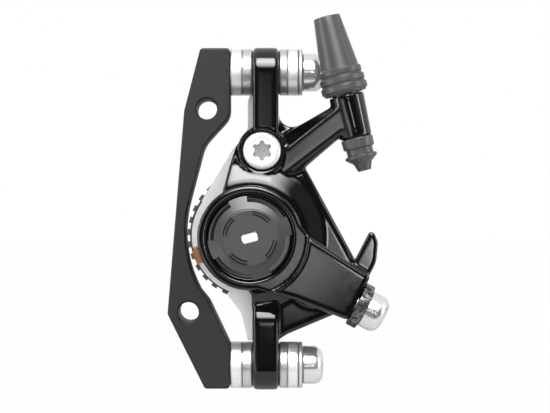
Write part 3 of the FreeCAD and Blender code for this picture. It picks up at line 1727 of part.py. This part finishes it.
def make_cable_parts():
    adjuster = new_body("adjuster_tube")
    thread_top = d.adjuster_thread_length
    head_bottom = thread_top + d.medium_round
    head_top = d.adjuster_length - d.adjuster_head_top
    ferrule_floor = d.adjuster_length - d.adjuster_ferrule_depth
    turn_upright(adjuster, [
        (WIRE_HOLE, ZERO),
        (d.adjuster_thread_radius, ZERO, d.medium_round),
        (d.adjuster_thread_radius, head_bottom),
        (d.adjuster_head_radius, head_bottom, d.small_round),
        (d.adjuster_head_radius, head_top, d.small_round),
        (d.adjuster_neck_radius, head_top),
        (d.adjuster_neck_radius, d.adjuster_length),
        (FERRULE_HOLE, d.adjuster_length),
        (FERRULE_HOLE, ferrule_floor),
        (WIRE_HOLE, ferrule_floor),
    ])
    node(on_cable(adjuster, d.stop_top + d.adjuster_thread_length), "barrel_adjuster")

    boot = new_body("boot_shell")
    rib = d.boot_rib_round
    hollow = d.boot_groove_round
    slope = d.boot_rib_slope
    pitch = d.boot_rib_pitch
    cone_end = d.boot_length - d.boot_cone_end
    groove = d.boot_groove_depth
    ribs = []
    low = cone_end - d.medium_round
    radii = (d.boot_rib_radius_one, d.boot_rib_radius_two, d.boot_rib_radius_three)
    for radius in radii:
        ribs += [
            (radius - groove, low, hollow),
            (radius, low - slope, rib),
            (radius, low - pitch + slope + d.seal_draft, rib),
            (radius - groove, low - pitch + d.seal_draft, hollow),
        ]
        low = low - pitch
    room = d.adjuster_head_radius + d.boot_gap
    throat = d.adjuster_neck_radius + d.boot_throat_play
    lip = d.boot_length - d.boot_lip_length
    room_top = cone_end + d.thread_run_out
    turn_upright(boot, [
        (FERRULE_HOLE, d.boot_length),
        (d.boot_top_radius, d.boot_length, d.small_round),
        (d.boot_cone_radius, cone_end, d.medium_round),
        *ribs,
        (d.boot_rim_radius, ZERO, d.small_round),
        (room, ZERO),
        (room, room_top),
        (throat, room_top + d.boot_taper),
        (throat, lip - d.medium_round),
        (FERRULE_HOLE, lip),
    ])
    node(on_cable(boot, d.boot_length), "adjuster_boot")

    seal = new_body("seal_nipple")
    turn_upright(seal, [
        (d.seal_bore_radius, ZERO),
        (d.seal_collar_radius, ZERO, d.seal_round),
        (d.seal_collar_radius - d.seal_draft, -d.seal_collar_length, d.seal_round),
        (d.seal_neck_radius, -d.seal_collar_length - d.seal_step),
        (d.seal_neck_radius, -d.seal_neck_end),
        (d.seal_flange_radius, -d.seal_neck_end - d.seal_step, d.seal_fine_round),
        (d.seal_flange_radius, -d.seal_flange_end, d.seal_fine_round),
        (d.seal_cone_radius, -d.seal_cone_end, d.seal_cone_blend),
        (d.seal_tip_radius, -d.seal_length, d.seal_fine_round),
        (d.seal_bore_radius, -d.seal_length),
    ])
    node(on_cable(seal, d.stop_bottom), "cable_seal")


# Building, checking and writing the pieces

make_bracket()
make_mount_bolts()
make_washers()
make_pads()
make_outboard_housing()
make_inboard_housing()
make_body_bolts()
make_drive()
make_feet()
make_arm()
make_return_spring()
make_outboard_knob()
make_inboard_knob()
make_cable_parts()
DOC.recompute()

for item in DOC.Objects:
    if "Invalid" in item.State or "Error" in item.State:
        raise ValueError(f"{item.Label} did not build")

for item in NODES:
    shape = item.Shape
    if shape.isNull() or not shape.isValid() or not shape.Solids:
        raise ValueError(f"{item.Label} has no sound solid")
    shape.exportStep(f"parts/{item.Label}.step")
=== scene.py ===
# %% [markdown]
# # Dressing a cable disc brake caliper
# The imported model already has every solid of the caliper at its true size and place.
# This lesson gives those solids the look of the real thing: black lacquer on castings,
# bright turned metal, rubber and moulded plastic, under soft studio light.
# The frame comes in first, and its box is kept, because the dressed part may not outgrow it.

# %% Load the frame
import json
import math

import bpy
import numpy as np
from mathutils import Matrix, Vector


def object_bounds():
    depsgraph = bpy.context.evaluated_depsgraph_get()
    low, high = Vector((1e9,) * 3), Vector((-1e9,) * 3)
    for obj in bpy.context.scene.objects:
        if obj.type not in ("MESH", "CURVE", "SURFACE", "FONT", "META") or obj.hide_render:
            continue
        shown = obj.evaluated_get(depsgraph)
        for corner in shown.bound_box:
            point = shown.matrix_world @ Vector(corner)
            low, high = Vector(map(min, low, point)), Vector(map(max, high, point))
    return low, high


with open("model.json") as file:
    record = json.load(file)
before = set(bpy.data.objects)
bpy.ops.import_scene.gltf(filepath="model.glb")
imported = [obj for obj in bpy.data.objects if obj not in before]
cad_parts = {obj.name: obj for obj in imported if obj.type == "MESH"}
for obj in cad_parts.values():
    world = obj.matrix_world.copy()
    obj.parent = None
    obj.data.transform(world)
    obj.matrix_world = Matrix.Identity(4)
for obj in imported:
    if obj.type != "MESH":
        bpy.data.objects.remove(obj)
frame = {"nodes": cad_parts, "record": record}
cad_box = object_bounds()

MM = 0.001
nodes = frame["nodes"]
scene = bpy.context.scene

# %% [markdown]
# ## The camera
# The caliper is seen square on from its outboard side, from about four of its own heights.
# A lens could be guessed and tried, but the picture itself gives it: so many pixels across,
# and so many pixels to a millimetre at the plane of the arm. That is the width that the
# sensor has to cover at that distance, and the focal length follows from it.

# %% Place the camera
PICTURE_WIDTH = 550
PIXELS_PER_MM = 3.98
AIM_X = 6.2 * MM
AIM_Z = 7.7 * MM
SHARP_PLANE_Y = -14 * MM
CAMERA_DISTANCE = 400 * MM
CLIP_NEAR = 10 * MM
CLIP_FAR = 10.0

camera_data = bpy.data.cameras.new("camera")
covered_width = PICTURE_WIDTH / PIXELS_PER_MM * MM
camera_data.lens = camera_data.sensor_width * CAMERA_DISTANCE / covered_width
camera_data.clip_start = CLIP_NEAR
camera_data.clip_end = CLIP_FAR
camera = bpy.data.objects.new("camera", camera_data)
camera.location = (AIM_X, SHARP_PLANE_Y - CAMERA_DISTANCE, AIM_Z)
camera.rotation_euler = (math.radians(90), 0, 0)
scene.collection.objects.link(camera)
scene.camera = camera
scene.view_settings.view_transform = "Standard"
print("lens", round(camera_data.lens, 1))

# %% [markdown]
# ## Shader sums as plain Python
# No surface of the real caliper is one even colour: paint lies thicker and thinner, metal is
# polished in clouds, rubber has a grain. A tree of nodes can say that, and it could be drawn
# by hand in the editor, but sums and products are easier to read. So the class Signal wraps
# one output socket, and its operators add Math nodes. Every other node comes from Tree.node,
# which sets a node up and then feeds its sockets. The world and the materials both use it.

# %% Signals and trees


class Signal:
    """One output socket of a tree; sums and products of signals and numbers add Math nodes."""

    def __init__(self, tree, socket):
        self.tree = tree
        self.socket = socket

    def maths(self, operation, first, second):
        return self.tree.node("ShaderNodeMath", {"operation": operation}, {0: first, 1: second})

    def __add__(self, other):
        return self.maths("ADD", self, other)

    def __sub__(self, other):
        return self.maths("SUBTRACT", self, other)

    def __rsub__(self, other):
        return self.maths("SUBTRACT", other, self)

    def __mul__(self, other):
        return self.maths("MULTIPLY", self, other)

    def __gt__(self, other):
        return self.maths("GREATER_THAN", self, other)

    def __lt__(self, other):
        return self.maths("LESS_THAN", self, other)

    __radd__ = __add__
    __rmul__ = __mul__


class Tree:
    """The nodes of the world or of a material, fed with numbers, colours and signals."""

    def __init__(self, node_tree):
        self.tree = node_tree

    def node(self, kind, settings=None, sockets=None, output=0):
        """Adds a node, sets it up, then feeds its sockets with values or other signals."""
        made = self.tree.nodes.new(kind)
        for key, value in (settings or {}).items():
            setattr(made, key, value)
        for key, value in (sockets or {}).items():
            self.feed(made.inputs[key], value)
        return Signal(self, made.outputs[output])

    def feed(self, socket, value):
        if isinstance(value, Signal):
            self.tree.links.new(value.socket, socket)
        else:
            socket.default_value = value

    def between(self, value, low, high, start=0.0, end=1.0, ease="LINEAR"):
        """Maps a signal from low..high to start..end, and holds it at the ends."""
        return self.node("ShaderNodeMapRange", {"interpolation_type": ease}, {
            "Value": value, "From Min": low, "From Max": high, "To Min": start, "To Max": end})

    def ray(self, kind):
        """1 for rays of this kind and 0 for all others."""
        return self.node("ShaderNodeLightPath", output=kind)


def blend(first, second, share):
    """Goes from the first signal or number to the second as the share goes from 0 to 1."""
    return first * (1 - share) + second * share


print("operators of a signal: + - * < >")

# %% [markdown]
# ## Finishes from noise
# Paint, polish and grain are uneven in ways that nobody plans, and noise is like that. Painted
# pictures could hold it too, but they would need an unwrapped surface. Noise in space, read at
# the place of a point in its piece, needs none, and it moves with the piece. Clouds are soft
# and grain is crisper. Most values of either lie between two levels, and roughness goes from
# its smoothest to its dullest over that span.

# %% Finishes
CLOUD_DETAIL = 2.0
GRAIN_DETAIL = 3.0
NOISE_LOW = 0.3
NOISE_HIGH = 0.7
# A Mix node has sockets of one name for numbers, vectors and colours. These are its colours'.
MIX_COLOUR_A = 6
MIX_COLOUR_B = 7
MIX_COLOUR_RESULT = 2


class Finish(Tree):
    """A material being built; keyword values are set on the Principled shader's own sockets."""

    def __init__(self, name, **constants):
        self.material = bpy.data.materials.new(name)
        self.material.use_nodes = True
        super().__init__(self.material.node_tree)
        self.shader = self.tree.nodes["Principled BSDF"]
        for title, value in constants.items():
            self.set(title.title(), value)
        self.place = self.node("ShaderNodeTexCoord", output="Object")

    def set(self, title, value):
        self.feed(self.shader.inputs[title], value)

    def noise(self, size, detail):
        """Noise from 0 to 1 with features of about this size in metres."""
        spot = self.node("ShaderNodeMapping", {}, {"Vector": self.place, "Scale": [1 / size] * 3})
        return self.node("ShaderNodeTexNoise", {}, {"Vector": spot, "Scale": 1.0, "Detail": detail})

    def cloud(self, size):
        return self.noise(size, CLOUD_DETAIL)

    def grain(self, size):
        return self.noise(size, GRAIN_DETAIL)

    def axis(self, name):
        return self.node("ShaderNodeSeparateXYZ", {}, {0: self.place}, output=name)

    def mix(self, factor, first, second):
        """Goes from the first colour to the second as the factor goes from 0 to 1."""
        return self.node("ShaderNodeMix", {"data_type": "RGBA"}, {
            "Factor": factor, MIX_COLOUR_A: first, MIX_COLOUR_B: second}, MIX_COLOUR_RESULT)

    def polish(self, cloud, smooth, dull):
        """Roughness from smooth to dull, over the span that holds most values of a noise."""
        self.set("Roughness", self.between(cloud, NOISE_LOW, NOISE_HIGH, smooth, dull))

    def bump(self, height, depth):
        """Raises the surface by height times depth in metres, in its shading alone."""
        normal = self.node("ShaderNodeBump", {}, {"Height": height, "Distance": depth})
        self.set("Normal", normal)


def grey(value, tint=(1, 1, 1)):
    return (value * tint[0], value * tint[1], value * tint[2], 1)


print("noise span", NOISE_LOW, "to", NOISE_HIGH)

# %% [markdown]
# ## What the gloss mirrors
# Gloss black shows hardly anything but what it mirrors, so the room around the camera matters
# more than the lamps. A flat face turned to the camera mirrors the camera's own surroundings,
# which are dark in a studio, and white walls stand at the sides and behind. Pale cards around
# the lens put a light patch on chosen faces, as a photographer's cards do: each is a soft
# round spot in the world, named for where it hangs. Real cards could be meshes with emission,
# but spots in the world light nothing else, because only mirrored rays see them.

# %% Build the world
DARK_ROOM = 0.05
DARK_UP_TO = -0.9
WHITE_FROM = -0.2
DOME_LEVEL = 0.4
CARDS = {
    "at the lens": dict(aim=(0.01, -1.0, -0.03), core=0.012, edge=0.05, level=3.4),
    "over the lens": dict(aim=(-0.03, -1.0, 0.05), core=0.01, edge=0.065, level=0.8),
    "right of the lens": dict(aim=(0.086, -1.0, -0.017), core=0.029, edge=0.036, level=11.0),
    "low on the left": dict(aim=(-0.52, -0.81, -0.28), core=0.05, edge=0.28, level=3.2),
    "high in front": dict(aim=(0.03, -0.75, 0.66), core=0.2, edge=0.48, level=13.0),
}


def card_glow(sky, way, aim, core, edge, level):
    """The light of one card: full within its core, fading to none at its edge."""
    offset = sky.node("ShaderNodeVectorMath", {"operation": "DISTANCE"},
                      {0: way, 1: Vector(aim).normalized()}, output="Value")
    return sky.between(offset, core, edge, level, 0.0, "SMOOTHSTEP")


def build_world():
    """White behind and at the sides, dark about the camera; an even dome for diffuse light."""
    world = bpy.data.worlds.new("studio")
    world.use_nodes = True
    scene.world = world
    sky = Tree(world.node_tree)
    way = sky.node("ShaderNodeTexCoord", output="Generated")
    depth = sky.node("ShaderNodeSeparateXYZ", {}, {0: way}, output="Y")
    mirrored = sky.between(depth, DARK_UP_TO, WHITE_FROM, DARK_ROOM, 1.0, "SMOOTHSTEP")
    for card in CARDS.values():
        mirrored = mirrored + card_glow(sky, way, **card)
    level = blend(DOME_LEVEL, mirrored, sky.ray("Is Glossy Ray"))
    seen = sky.ray("Is Camera Ray") + sky.ray("Is Transmission Ray")
    background = world.node_tree.nodes["Background"]
    sky.feed(background.inputs["Color"], grey(1.0))
    sky.feed(background.inputs["Strength"], blend(level, 1.0, seen))


build_world()
print("cards", len(CARDS))

# %% [markdown]
# ## Soft panels
# A large lamp makes soft shadows and broad highlights, a small one hard ones. The bright
# bolts want broad ones, so all lamps here are panels. One hangs above and a narrow one stands
# at each side, where round metal picks up a long streak. The fill behind the camera only
# lifts the pale casting and the dark plastic: it is hidden from mirrored rays, because a
# square of light in every black face would look like a window.

# %% Hang the panels
MIDDLE = (5 * MM, -10 * MM, 5 * MM)
PANELS = {
    "top_panel": dict(place=(-0.04, -0.30, 0.40), width=0.36, height=0.22, radiance=6.0),
    "left_panel": dict(place=(-0.40, -0.16, 0.08), width=0.07, height=0.36, radiance=8.0),
    "right_panel": dict(place=(0.42, -0.14, 0.05), width=0.07, height=0.36, radiance=8.0),
    "front_fill": dict(place=(0.0, -0.55, 0.03), width=0.2, height=0.2, radiance=13.0,
                       mirrored=False),
}


def soft_panel(name, place, width, height, radiance, mirrored=True):
    """A rectangular area lamp that faces the part; its power follows from area and radiance."""
    lamp = bpy.data.lights.new(name, "AREA")
    lamp.shape = "RECTANGLE"
    lamp.size = width
    lamp.size_y = height
    lamp.energy = math.pi * width * height * radiance
    panel = bpy.data.objects.new(name, lamp)
    panel.location = place
    panel.visible_glossy = mirrored
    facing = Vector(MIDDLE) - Vector(place)
    panel.rotation_euler = facing.to_track_quat("-Z", "Y").to_euler()
    scene.collection.objects.link(panel)


for panel_name, panel in PANELS.items():
    soft_panel(panel_name, **panel)
print("panels", ", ".join(PANELS))

# %% [markdown]
# ## The floor
# The part floats over a pale floor that runs away behind it. A plain white floor renders grey
# where less light falls, so the camera sees nearly pure white instead, and only a small share
# of the true shading, which keeps the shadow. The floor ends in front of the part, because
# the lacquer of the lower ear would mirror it.

# %% Lay the floor
FLOOR_DROP = 30 * MM
FLOOR_HALF = 3.0
FLOOR_FRONT = -0.1
WHITE_SHARE = 0.985
FLOOR_CLOUD = 40 * MM


def build_floor():
    """A grid of two by two corners at one height, across X and back along Y."""
    across, back = np.meshgrid((-FLOOR_HALF, FLOOR_HALF), (FLOOR_FRONT, FLOOR_HALF))
    height = np.full(across.size, cad_box[0].z - FLOOR_DROP)
    corners = np.column_stack((across.ravel(), back.ravel(), height))
    mesh = bpy.data.meshes.new("floor")
    mesh.from_pydata(corners.tolist(), [], [(0, 1, 3, 2)])
    floor = bpy.data.objects.new("floor", mesh)
    scene.collection.objects.link(floor)
    paint = Finish("floor_paint", roughness=0.9)
    paint.set("Base Color", paint.mix(paint.cloud(FLOOR_CLOUD), grey(0.86), grey(0.9)))
    white = paint.node("ShaderNodeEmission", {}, {"Color": grey(1.0), "Strength": 1.0})
    shown = paint.node("ShaderNodeMixShader", {}, {
        0: paint.ray("Is Camera Ray") * WHITE_SHARE,
        1: Signal(paint, paint.shader.outputs[0]),
        2: white,
    })
    paint.feed(paint.tree.nodes["Material Output"].inputs["Surface"], shown)
    floor.data.materials.append(paint.material)


build_floor()
print("floor at", round(cad_box[0].z - FLOOR_DROP, 4))

# %% [markdown]
# ## Castings
# The outer half and the arm are cast aluminium under gloss black lacquer, the inner half is
# bare and bead blasted, and the bracket has a matte dark coat. Lacquer could be a dark base
# under a clear coat, but black under a smooth surface gives the same mirror with one layer.
# The bare casting is nearly a matte white, because blasted metal scatters light all ways.

# %% Castings
FAINT_BLUE = (0.95, 0.97, 1.05)
COOL = (1, 1, 1.04)
WARM = (1, 1, 0.985)
COAT_SHINE = 0.35
COAT_GRAIN_SHARE = 0.4


def black_lacquer():
    """Gloss black paint on cast aluminium: deep black, hard and smooth."""
    paint = Finish("black_lacquer")
    paint.set("Base Color", paint.mix(paint.cloud(9 * MM), grey(0.002), grey(0.004, FAINT_BLUE)))
    paint.polish(paint.cloud(2 * MM), smooth=0.06, dull=0.09)
    return paint.material


def bracket_coat():
    """Matte dark grey coat on the frame bracket, with a fine even grain."""
    coat = Finish("bracket_coat")
    coat.set("Specular IOR Level", COAT_SHINE)
    grain = coat.grain(0.35 * MM)
    uneven = blend(coat.cloud(12 * MM), grain, COAT_GRAIN_SHARE)
    coat.set("Base Color", coat.mix(uneven, grey(0.008), grey(0.012, COOL)))
    coat.polish(grain, smooth=0.46, dull=0.58)
    coat.bump(grain, depth=0.02 * MM)
    return coat.material


def bare_casting():
    """Bare bead blasted aluminium of the inboard half: pale, and more matte than mirror."""
    metal = Finish("bare_casting", metallic=0.05)
    grain = metal.grain(0.3 * MM)
    metal.set("Base Color", metal.mix(metal.cloud(4 * MM), grey(0.86), grey(0.94, WARM)))
    metal.polish(grain, smooth=0.36, dull=0.5)
    metal.bump(grain, depth=0.01 * MM)
    return metal.material


slot_finish = {
    "black_casting": black_lacquer(),
    "bracket_coat": bracket_coat(),
    "satin_casting": bare_casting(),
}
print("casting finishes", len(slot_finish))

# %% [markdown]
# ## Bright metal
# Bolts, washers and springs are turned or stamped metal. A turned face could carry rings, but
# at this size they can't be seen, so soft clouds of polish stand for them. Plated pieces are
# a mix of metal and white, because plating is less of a mirror than bare steel.
# The mount bolts are painted near black where they sit inside the bracket, and the body bolts
# have painted shade on the floor of their drive socket. A second material on those faces would
# do, but a finish that reads the place along an axis needs no change to the mesh.

# %% Turned metal
POLISH_CLOUD = 3 * MM
SMOOTHEST = 0.85
DULLEST = 1.2
# Near black, as dark as the bracket's coat, for the mount bolts where they sit inside the bracket.
IN_BRACKET_BLACK = grey(0.012)
# Painted shade on the floor of a body bolt's drive socket, from SHADE_FROM to SHADE_FULL behind the
# head's front.
SOCKET_SHADE = grey(0.36)
SHADE_FROM = 0.25 * MM
SHADE_FULL = 1.45 * MM


def reach(name, axis):
    """The least and the greatest place of a node's corners along one axis."""
    mesh = nodes[name].data
    corners = np.empty(3 * len(mesh.vertices), dtype=np.float32)
    mesh.vertices.foreach_get("co", corners)
    places = corners.reshape(-1, 3)[:, "XYZ".index(axis)]
    return float(places.min()), float(places.max())


def turned_metal(name, low, high, rough, metallic=1.0):
    """Bright metal from a low to a high grey; clouds of polish spread its roughness."""
    metal = Finish(name, metallic=metallic)
    cloud = metal.cloud(POLISH_CLOUD)
    metal.set("Base Color", metal.mix(cloud, grey(low), grey(high)))
    metal.polish(cloud, smooth=rough * SMOOTHEST, dull=rough * DULLEST)
    return metal.material


def threaded_bolt():
    """Polished steel of the mount bolts, painted near black where they sit in the bracket."""
    bracket_face = reach("mount_bracket", "X")[1]
    metal = Finish("bolt_polish", metallic=0.8)
    cloud = metal.cloud(POLISH_CLOUD)
    bright = metal.mix(cloud, grey(0.66), grey(0.78))
    in_bracket = metal.axis("X") < bracket_face
    # Near black where the bolts sit inside the bracket.
    metal.set("Base Color", metal.mix(in_bracket, bright, IN_BRACKET_BLACK))
    metal.polish(cloud, smooth=0.17, dull=0.24)
    return metal.material


def socket_head():
    """Bright plated head of the body bolts, with painted shade on the floor of its drive socket."""
    front = reach("body_bolts", "Y")[0]
    metal = Finish("socket_head", metallic=0.4)
    cloud = metal.cloud(1.5 * MM)
    bright = metal.mix(cloud, grey(0.78), grey(0.9))
    # Painted shade: the head darkens from bright to grey towards the floor of its drive socket.
    depth = metal.between(metal.axis("Y"), front + SHADE_FROM, front + SHADE_FULL)
    metal.set("Base Color", metal.mix(depth, bright, SOCKET_SHADE))
    metal.polish(cloud, smooth=0.2, dull=0.3)
    return metal.material


def clamp_steel():
    """Dark steel with worn lighter patches, for the toothed clamp washer."""
    metal = Finish("clamp_steel", metallic=1.0)
    patch = metal.between(metal.cloud(1.4 * MM), low=0.45, high=0.6)
    metal.set("Base Color", metal.mix(patch, grey(0.05), grey(0.2)))
    metal.polish(metal.cloud(0.5 * MM), smooth=0.35, dull=0.5)
    return metal.material


slot_finish.update({
    "polished_steel": threaded_bolt(),
    "race_steel": turned_metal("race_steel", low=0.45, high=0.6, rough=0.25),
    "spring_steel": turned_metal("spring_steel", low=0.38, high=0.5, rough=0.3),
    "magnet_plate": turned_metal("magnet_plate", low=0.6, high=0.72, rough=0.18),
    "adjuster_alloy": turned_metal("adjuster_alloy", low=0.06, high=0.1, rough=0.3, metallic=0.6),
    "clamp_steel": clamp_steel(),
})
node_finish = {
    "body_bolts": socket_head(),
    "clamp_bolt": turned_metal("plated_white", low=0.66, high=0.76, rough=0.26, metallic=0.9),
    "foot_screw": turned_metal("tang_white", low=0.86, high=0.93, rough=0.24, metallic=0.3),
}
print("slots with a finish", len(slot_finish), "and nodes with their own", len(node_finish))

# %% [markdown]
# ## Washer stacks
# On each side of an ear, washers with ball and cup faces let the caliper tilt before its bolts
# are tightened. Where two of them meet, the eye sees a fine dark seam, since their rounded
# edges turn away from the light. Chamfers would show it too, but at four pixels to the
# millimetre a painted shade that runs in from each end of a washer reads better. Each
# washer's own mesh says where its ends are.

# %% Stacked washers
# Painted shade at each end of a washer: how far it runs in, and how much it darkens.
SEAM_WIDTH = 0.5 * MM
SEAM_SHADE = 0.75
CUP_METAL = dict(low=0.72, high=0.82, rough=0.36, metallic=0.6)
BALL_METAL = dict(low=0.5, high=0.6, rough=0.3, metallic=0.8)
STACK = {
    "inner_cup_washers": CUP_METAL,
    "inner_ball_washers": BALL_METAL,
    "outer_ball_washers": BALL_METAL,
    "outer_cup_washers": CUP_METAL,
    "flat_washers": CUP_METAL,
}


def stacked_washer(washer, low, high, rough, metallic):
    """Satin metal of one washer in a stack, with painted shade in the seams at its two ends."""
    left, right = reach(washer, "X")
    metal = Finish(washer + "_metal", metallic=metallic)
    cloud = metal.cloud(POLISH_CLOUD)
    along = metal.axis("X")
    from_left = metal.between(along, left, left + SEAM_WIDTH)
    from_right = metal.between(along, right, right - SEAM_WIDTH)
    # Painted shade: darker towards each end of the washer, where its rounded edges turn from the
    # light.
    painted_seam_shade = 1 - from_left * from_right
    plain = metal.mix(cloud, grey(low), grey(high))
    metal.set("Base Color", metal.mix(painted_seam_shade * SEAM_SHADE, plain, grey(0.0)))
    metal.polish(cloud, smooth=rough * SMOOTHEST, dull=rough * DULLEST)
    return metal.material


for washer_name, washer_metal in STACK.items():
    node_finish[washer_name] = stacked_washer(washer_name, **washer_metal)
print("washer finishes", len(STACK))

# %% [markdown]
# ## Plastic and rubber
# The knobs are moulded plastic and the boots are moulded rubber, both with the spark grain of
# the mould. A grain could be real geometry, but it is far finer than a pixel, so a shallow
# bump is enough. The cap of the outboard knob has fine slits that open into the dark.
# They are cut in the solid, and painted black in the finish as shade, because no light comes out of
# them.

# %% Mouldings
MOULD_CLOUD = 6 * MM
MOULD_GRAIN_SHARE = 0.3
MOULD_SMOOTHEST = 0.88
MOULD_DULLEST = 1.12
CAP_RADIUS = 7.0 * MM
# Painted shade in the cap's slits, from a little below the knob's face.
SLIT_FROM = 0.35 * MM
SLIT_SHADE = grey(0.002)


def moulded(name, low, high, rough, grain_size, depth):
    """Moulded plastic or rubber with a fine spark grain."""
    skin = Finish(name)
    grain = skin.grain(grain_size)
    uneven = blend(skin.cloud(MOULD_CLOUD), grain, MOULD_GRAIN_SHARE)
    skin.set("Base Color", skin.mix(uneven, grey(low), grey(high)))
    skin.polish(grain, smooth=rough * MOULD_SMOOTHEST, dull=rough * MOULD_DULLEST)
    skin.bump(grain, depth)
    return skin.material


def knob_face():
    """Dark moulded plastic of the outboard knob, with painted shade in the open slits of its cap.
    """
    front = reach("outboard_knob", "Y")[0]
    skin = Finish("knob_face")
    grain = skin.grain(0.25 * MM)
    across = skin.axis("X")
    up = skin.axis("Z")
    in_cap = across * across + up * up < CAP_RADIUS * CAP_RADIUS
    # Painted shade: inside the cap, the slits below its face are painted near black.
    slit_shade = in_cap * (skin.axis("Y") > front + SLIT_FROM)
    plain = skin.mix(skin.cloud(MOULD_CLOUD), grey(0.038), grey(0.05))
    skin.set("Base Color", skin.mix(slit_shade, plain, SLIT_SHADE))
    skin.polish(grain, smooth=0.3, dull=0.38)
    skin.bump(grain, depth=0.006 * MM)
    return skin.material


slot_finish.update({
    "knob_plastic": moulded("knob_plastic", low=0.038, high=0.05, rough=0.34,
                            grain_size=0.25 * MM, depth=0.006 * MM),
    "cage_plastic": moulded("cage_plastic", low=0.7, high=0.78, rough=0.5,
                            grain_size=0.4 * MM, depth=0.01 * MM),
    "boot_rubber": moulded("boot_rubber", low=0.046, high=0.062, rough=0.36,
                           grain_size=0.3 * MM, depth=0.012 * MM),
})
node_finish["outboard_knob"] = knob_face()
print("slots with a finish", len(slot_finish))

# %% [markdown]
# ## Brake pads
# A pad is a copper plated steel plate with a friction block sintered onto it. Only a tab of
# the plate shows from the front. Plating is thin and uneven, so its colour goes from brown to
# bright copper in clouds. The block holds metal specks, which a cell pattern gives: near the
# middle of a cell lies a speck, and the rest is dark.

# %% Pads
COPPER_DARK = (0.36, 0.14, 0.03, 1)
COPPER_BRIGHT = (0.56, 0.27, 0.08, 1)
SPECK_COLOUR = (0.3, 0.17, 0.09, 1)
SPECK_SPACING = 0.7 * MM


def pad_copper():
    """Copper plated steel of the pads' carrier plates."""
    metal = Finish("pad_copper", metallic=0.3)
    plating = metal.grain(1.5 * MM)
    metal.set("Base Color", metal.mix(plating, COPPER_DARK, COPPER_BRIGHT))
    metal.polish(plating, smooth=0.38, dull=0.55)
    metal.bump(metal.cloud(0.4 * MM), depth=0.02 * MM)
    return metal.material


def pad_lining():
    """Sintered friction block: dark and coarse, with copper coloured specks."""
    block = Finish("pad_lining", roughness=0.85)
    speck = block.node("ShaderNodeTexVoronoi", {}, {
        "Vector": block.place, "Scale": 1 / SPECK_SPACING}, output="Distance")
    outside = block.between(speck, low=0.1, high=0.25)
    block.set("Base Color", block.mix(outside, SPECK_COLOUR, grey(0.05)))
    block.bump(block.grain(0.5 * MM), depth=0.08 * MM)
    return block.material


slot_finish.update({
    "pad_copper": pad_copper(),
    "pad_lining": pad_lining(),
})
print("slots with a finish", len(slot_finish))

# %% [markdown]
# ## Carrying the solids over
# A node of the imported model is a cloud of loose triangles. Weld joins them again, and Edge
# Split keeps true corners sharp while everything rounder than its angle shades smoothly.
# The two lacquered castings have no true corner at all: their mould and a thick coat of paint
# round every edge. Bevels would need clean edges, so these nodes are recast on a fine grid and
# smoothed, which rounds outer edges and fills inner corners alike.

# %% Give every node its finish and its shading
WELD_DISTANCE = 0.002 * MM
CORNER_ANGLE = math.radians(32)
SMOOTH_SHARE = 0.5
SOFT_CASTINGS = {
    "outboard_housing": dict(cell=0.36 * MM, passes=8),
    "actuating_arm": dict(cell=0.26 * MM, passes=7),
}


def weld(item):
    join = item.modifiers.new("weld", "WELD")
    join.merge_threshold = WELD_DISTANCE


def shade(item):
    """Welds a node's triangles and lets all but its true corners shade smoothly."""
    weld(item)
    split = item.modifiers.new("corners", "EDGE_SPLIT")
    split.split_angle = CORNER_ANGLE


def soften(item, cell, passes):
    """Recasts a node on a fine grid, then smooths it, so that edges and inner corners run round."""
    weld(item)
    recast = item.modifiers.new("recast", "REMESH")
    recast.mode = "VOXEL"
    recast.voxel_size = cell
    recast.use_smooth_shade = True
    smooth = item.modifiers.new("smooth", "SMOOTH")
    smooth.factor = SMOOTH_SHARE
    smooth.iterations = passes


for part in frame["record"]["subparts"]:
    name = part["node"]
    item = nodes[name]
    item.data.materials.clear()
    item.data.materials.append(node_finish.get(name) or slot_finish[part["material_slot"]])
    if name in SOFT_CASTINGS:
        soften(item, **SOFT_CASTINGS[name])
    else:
        shade(item)
print("dressed", len(nodes), "nodes")
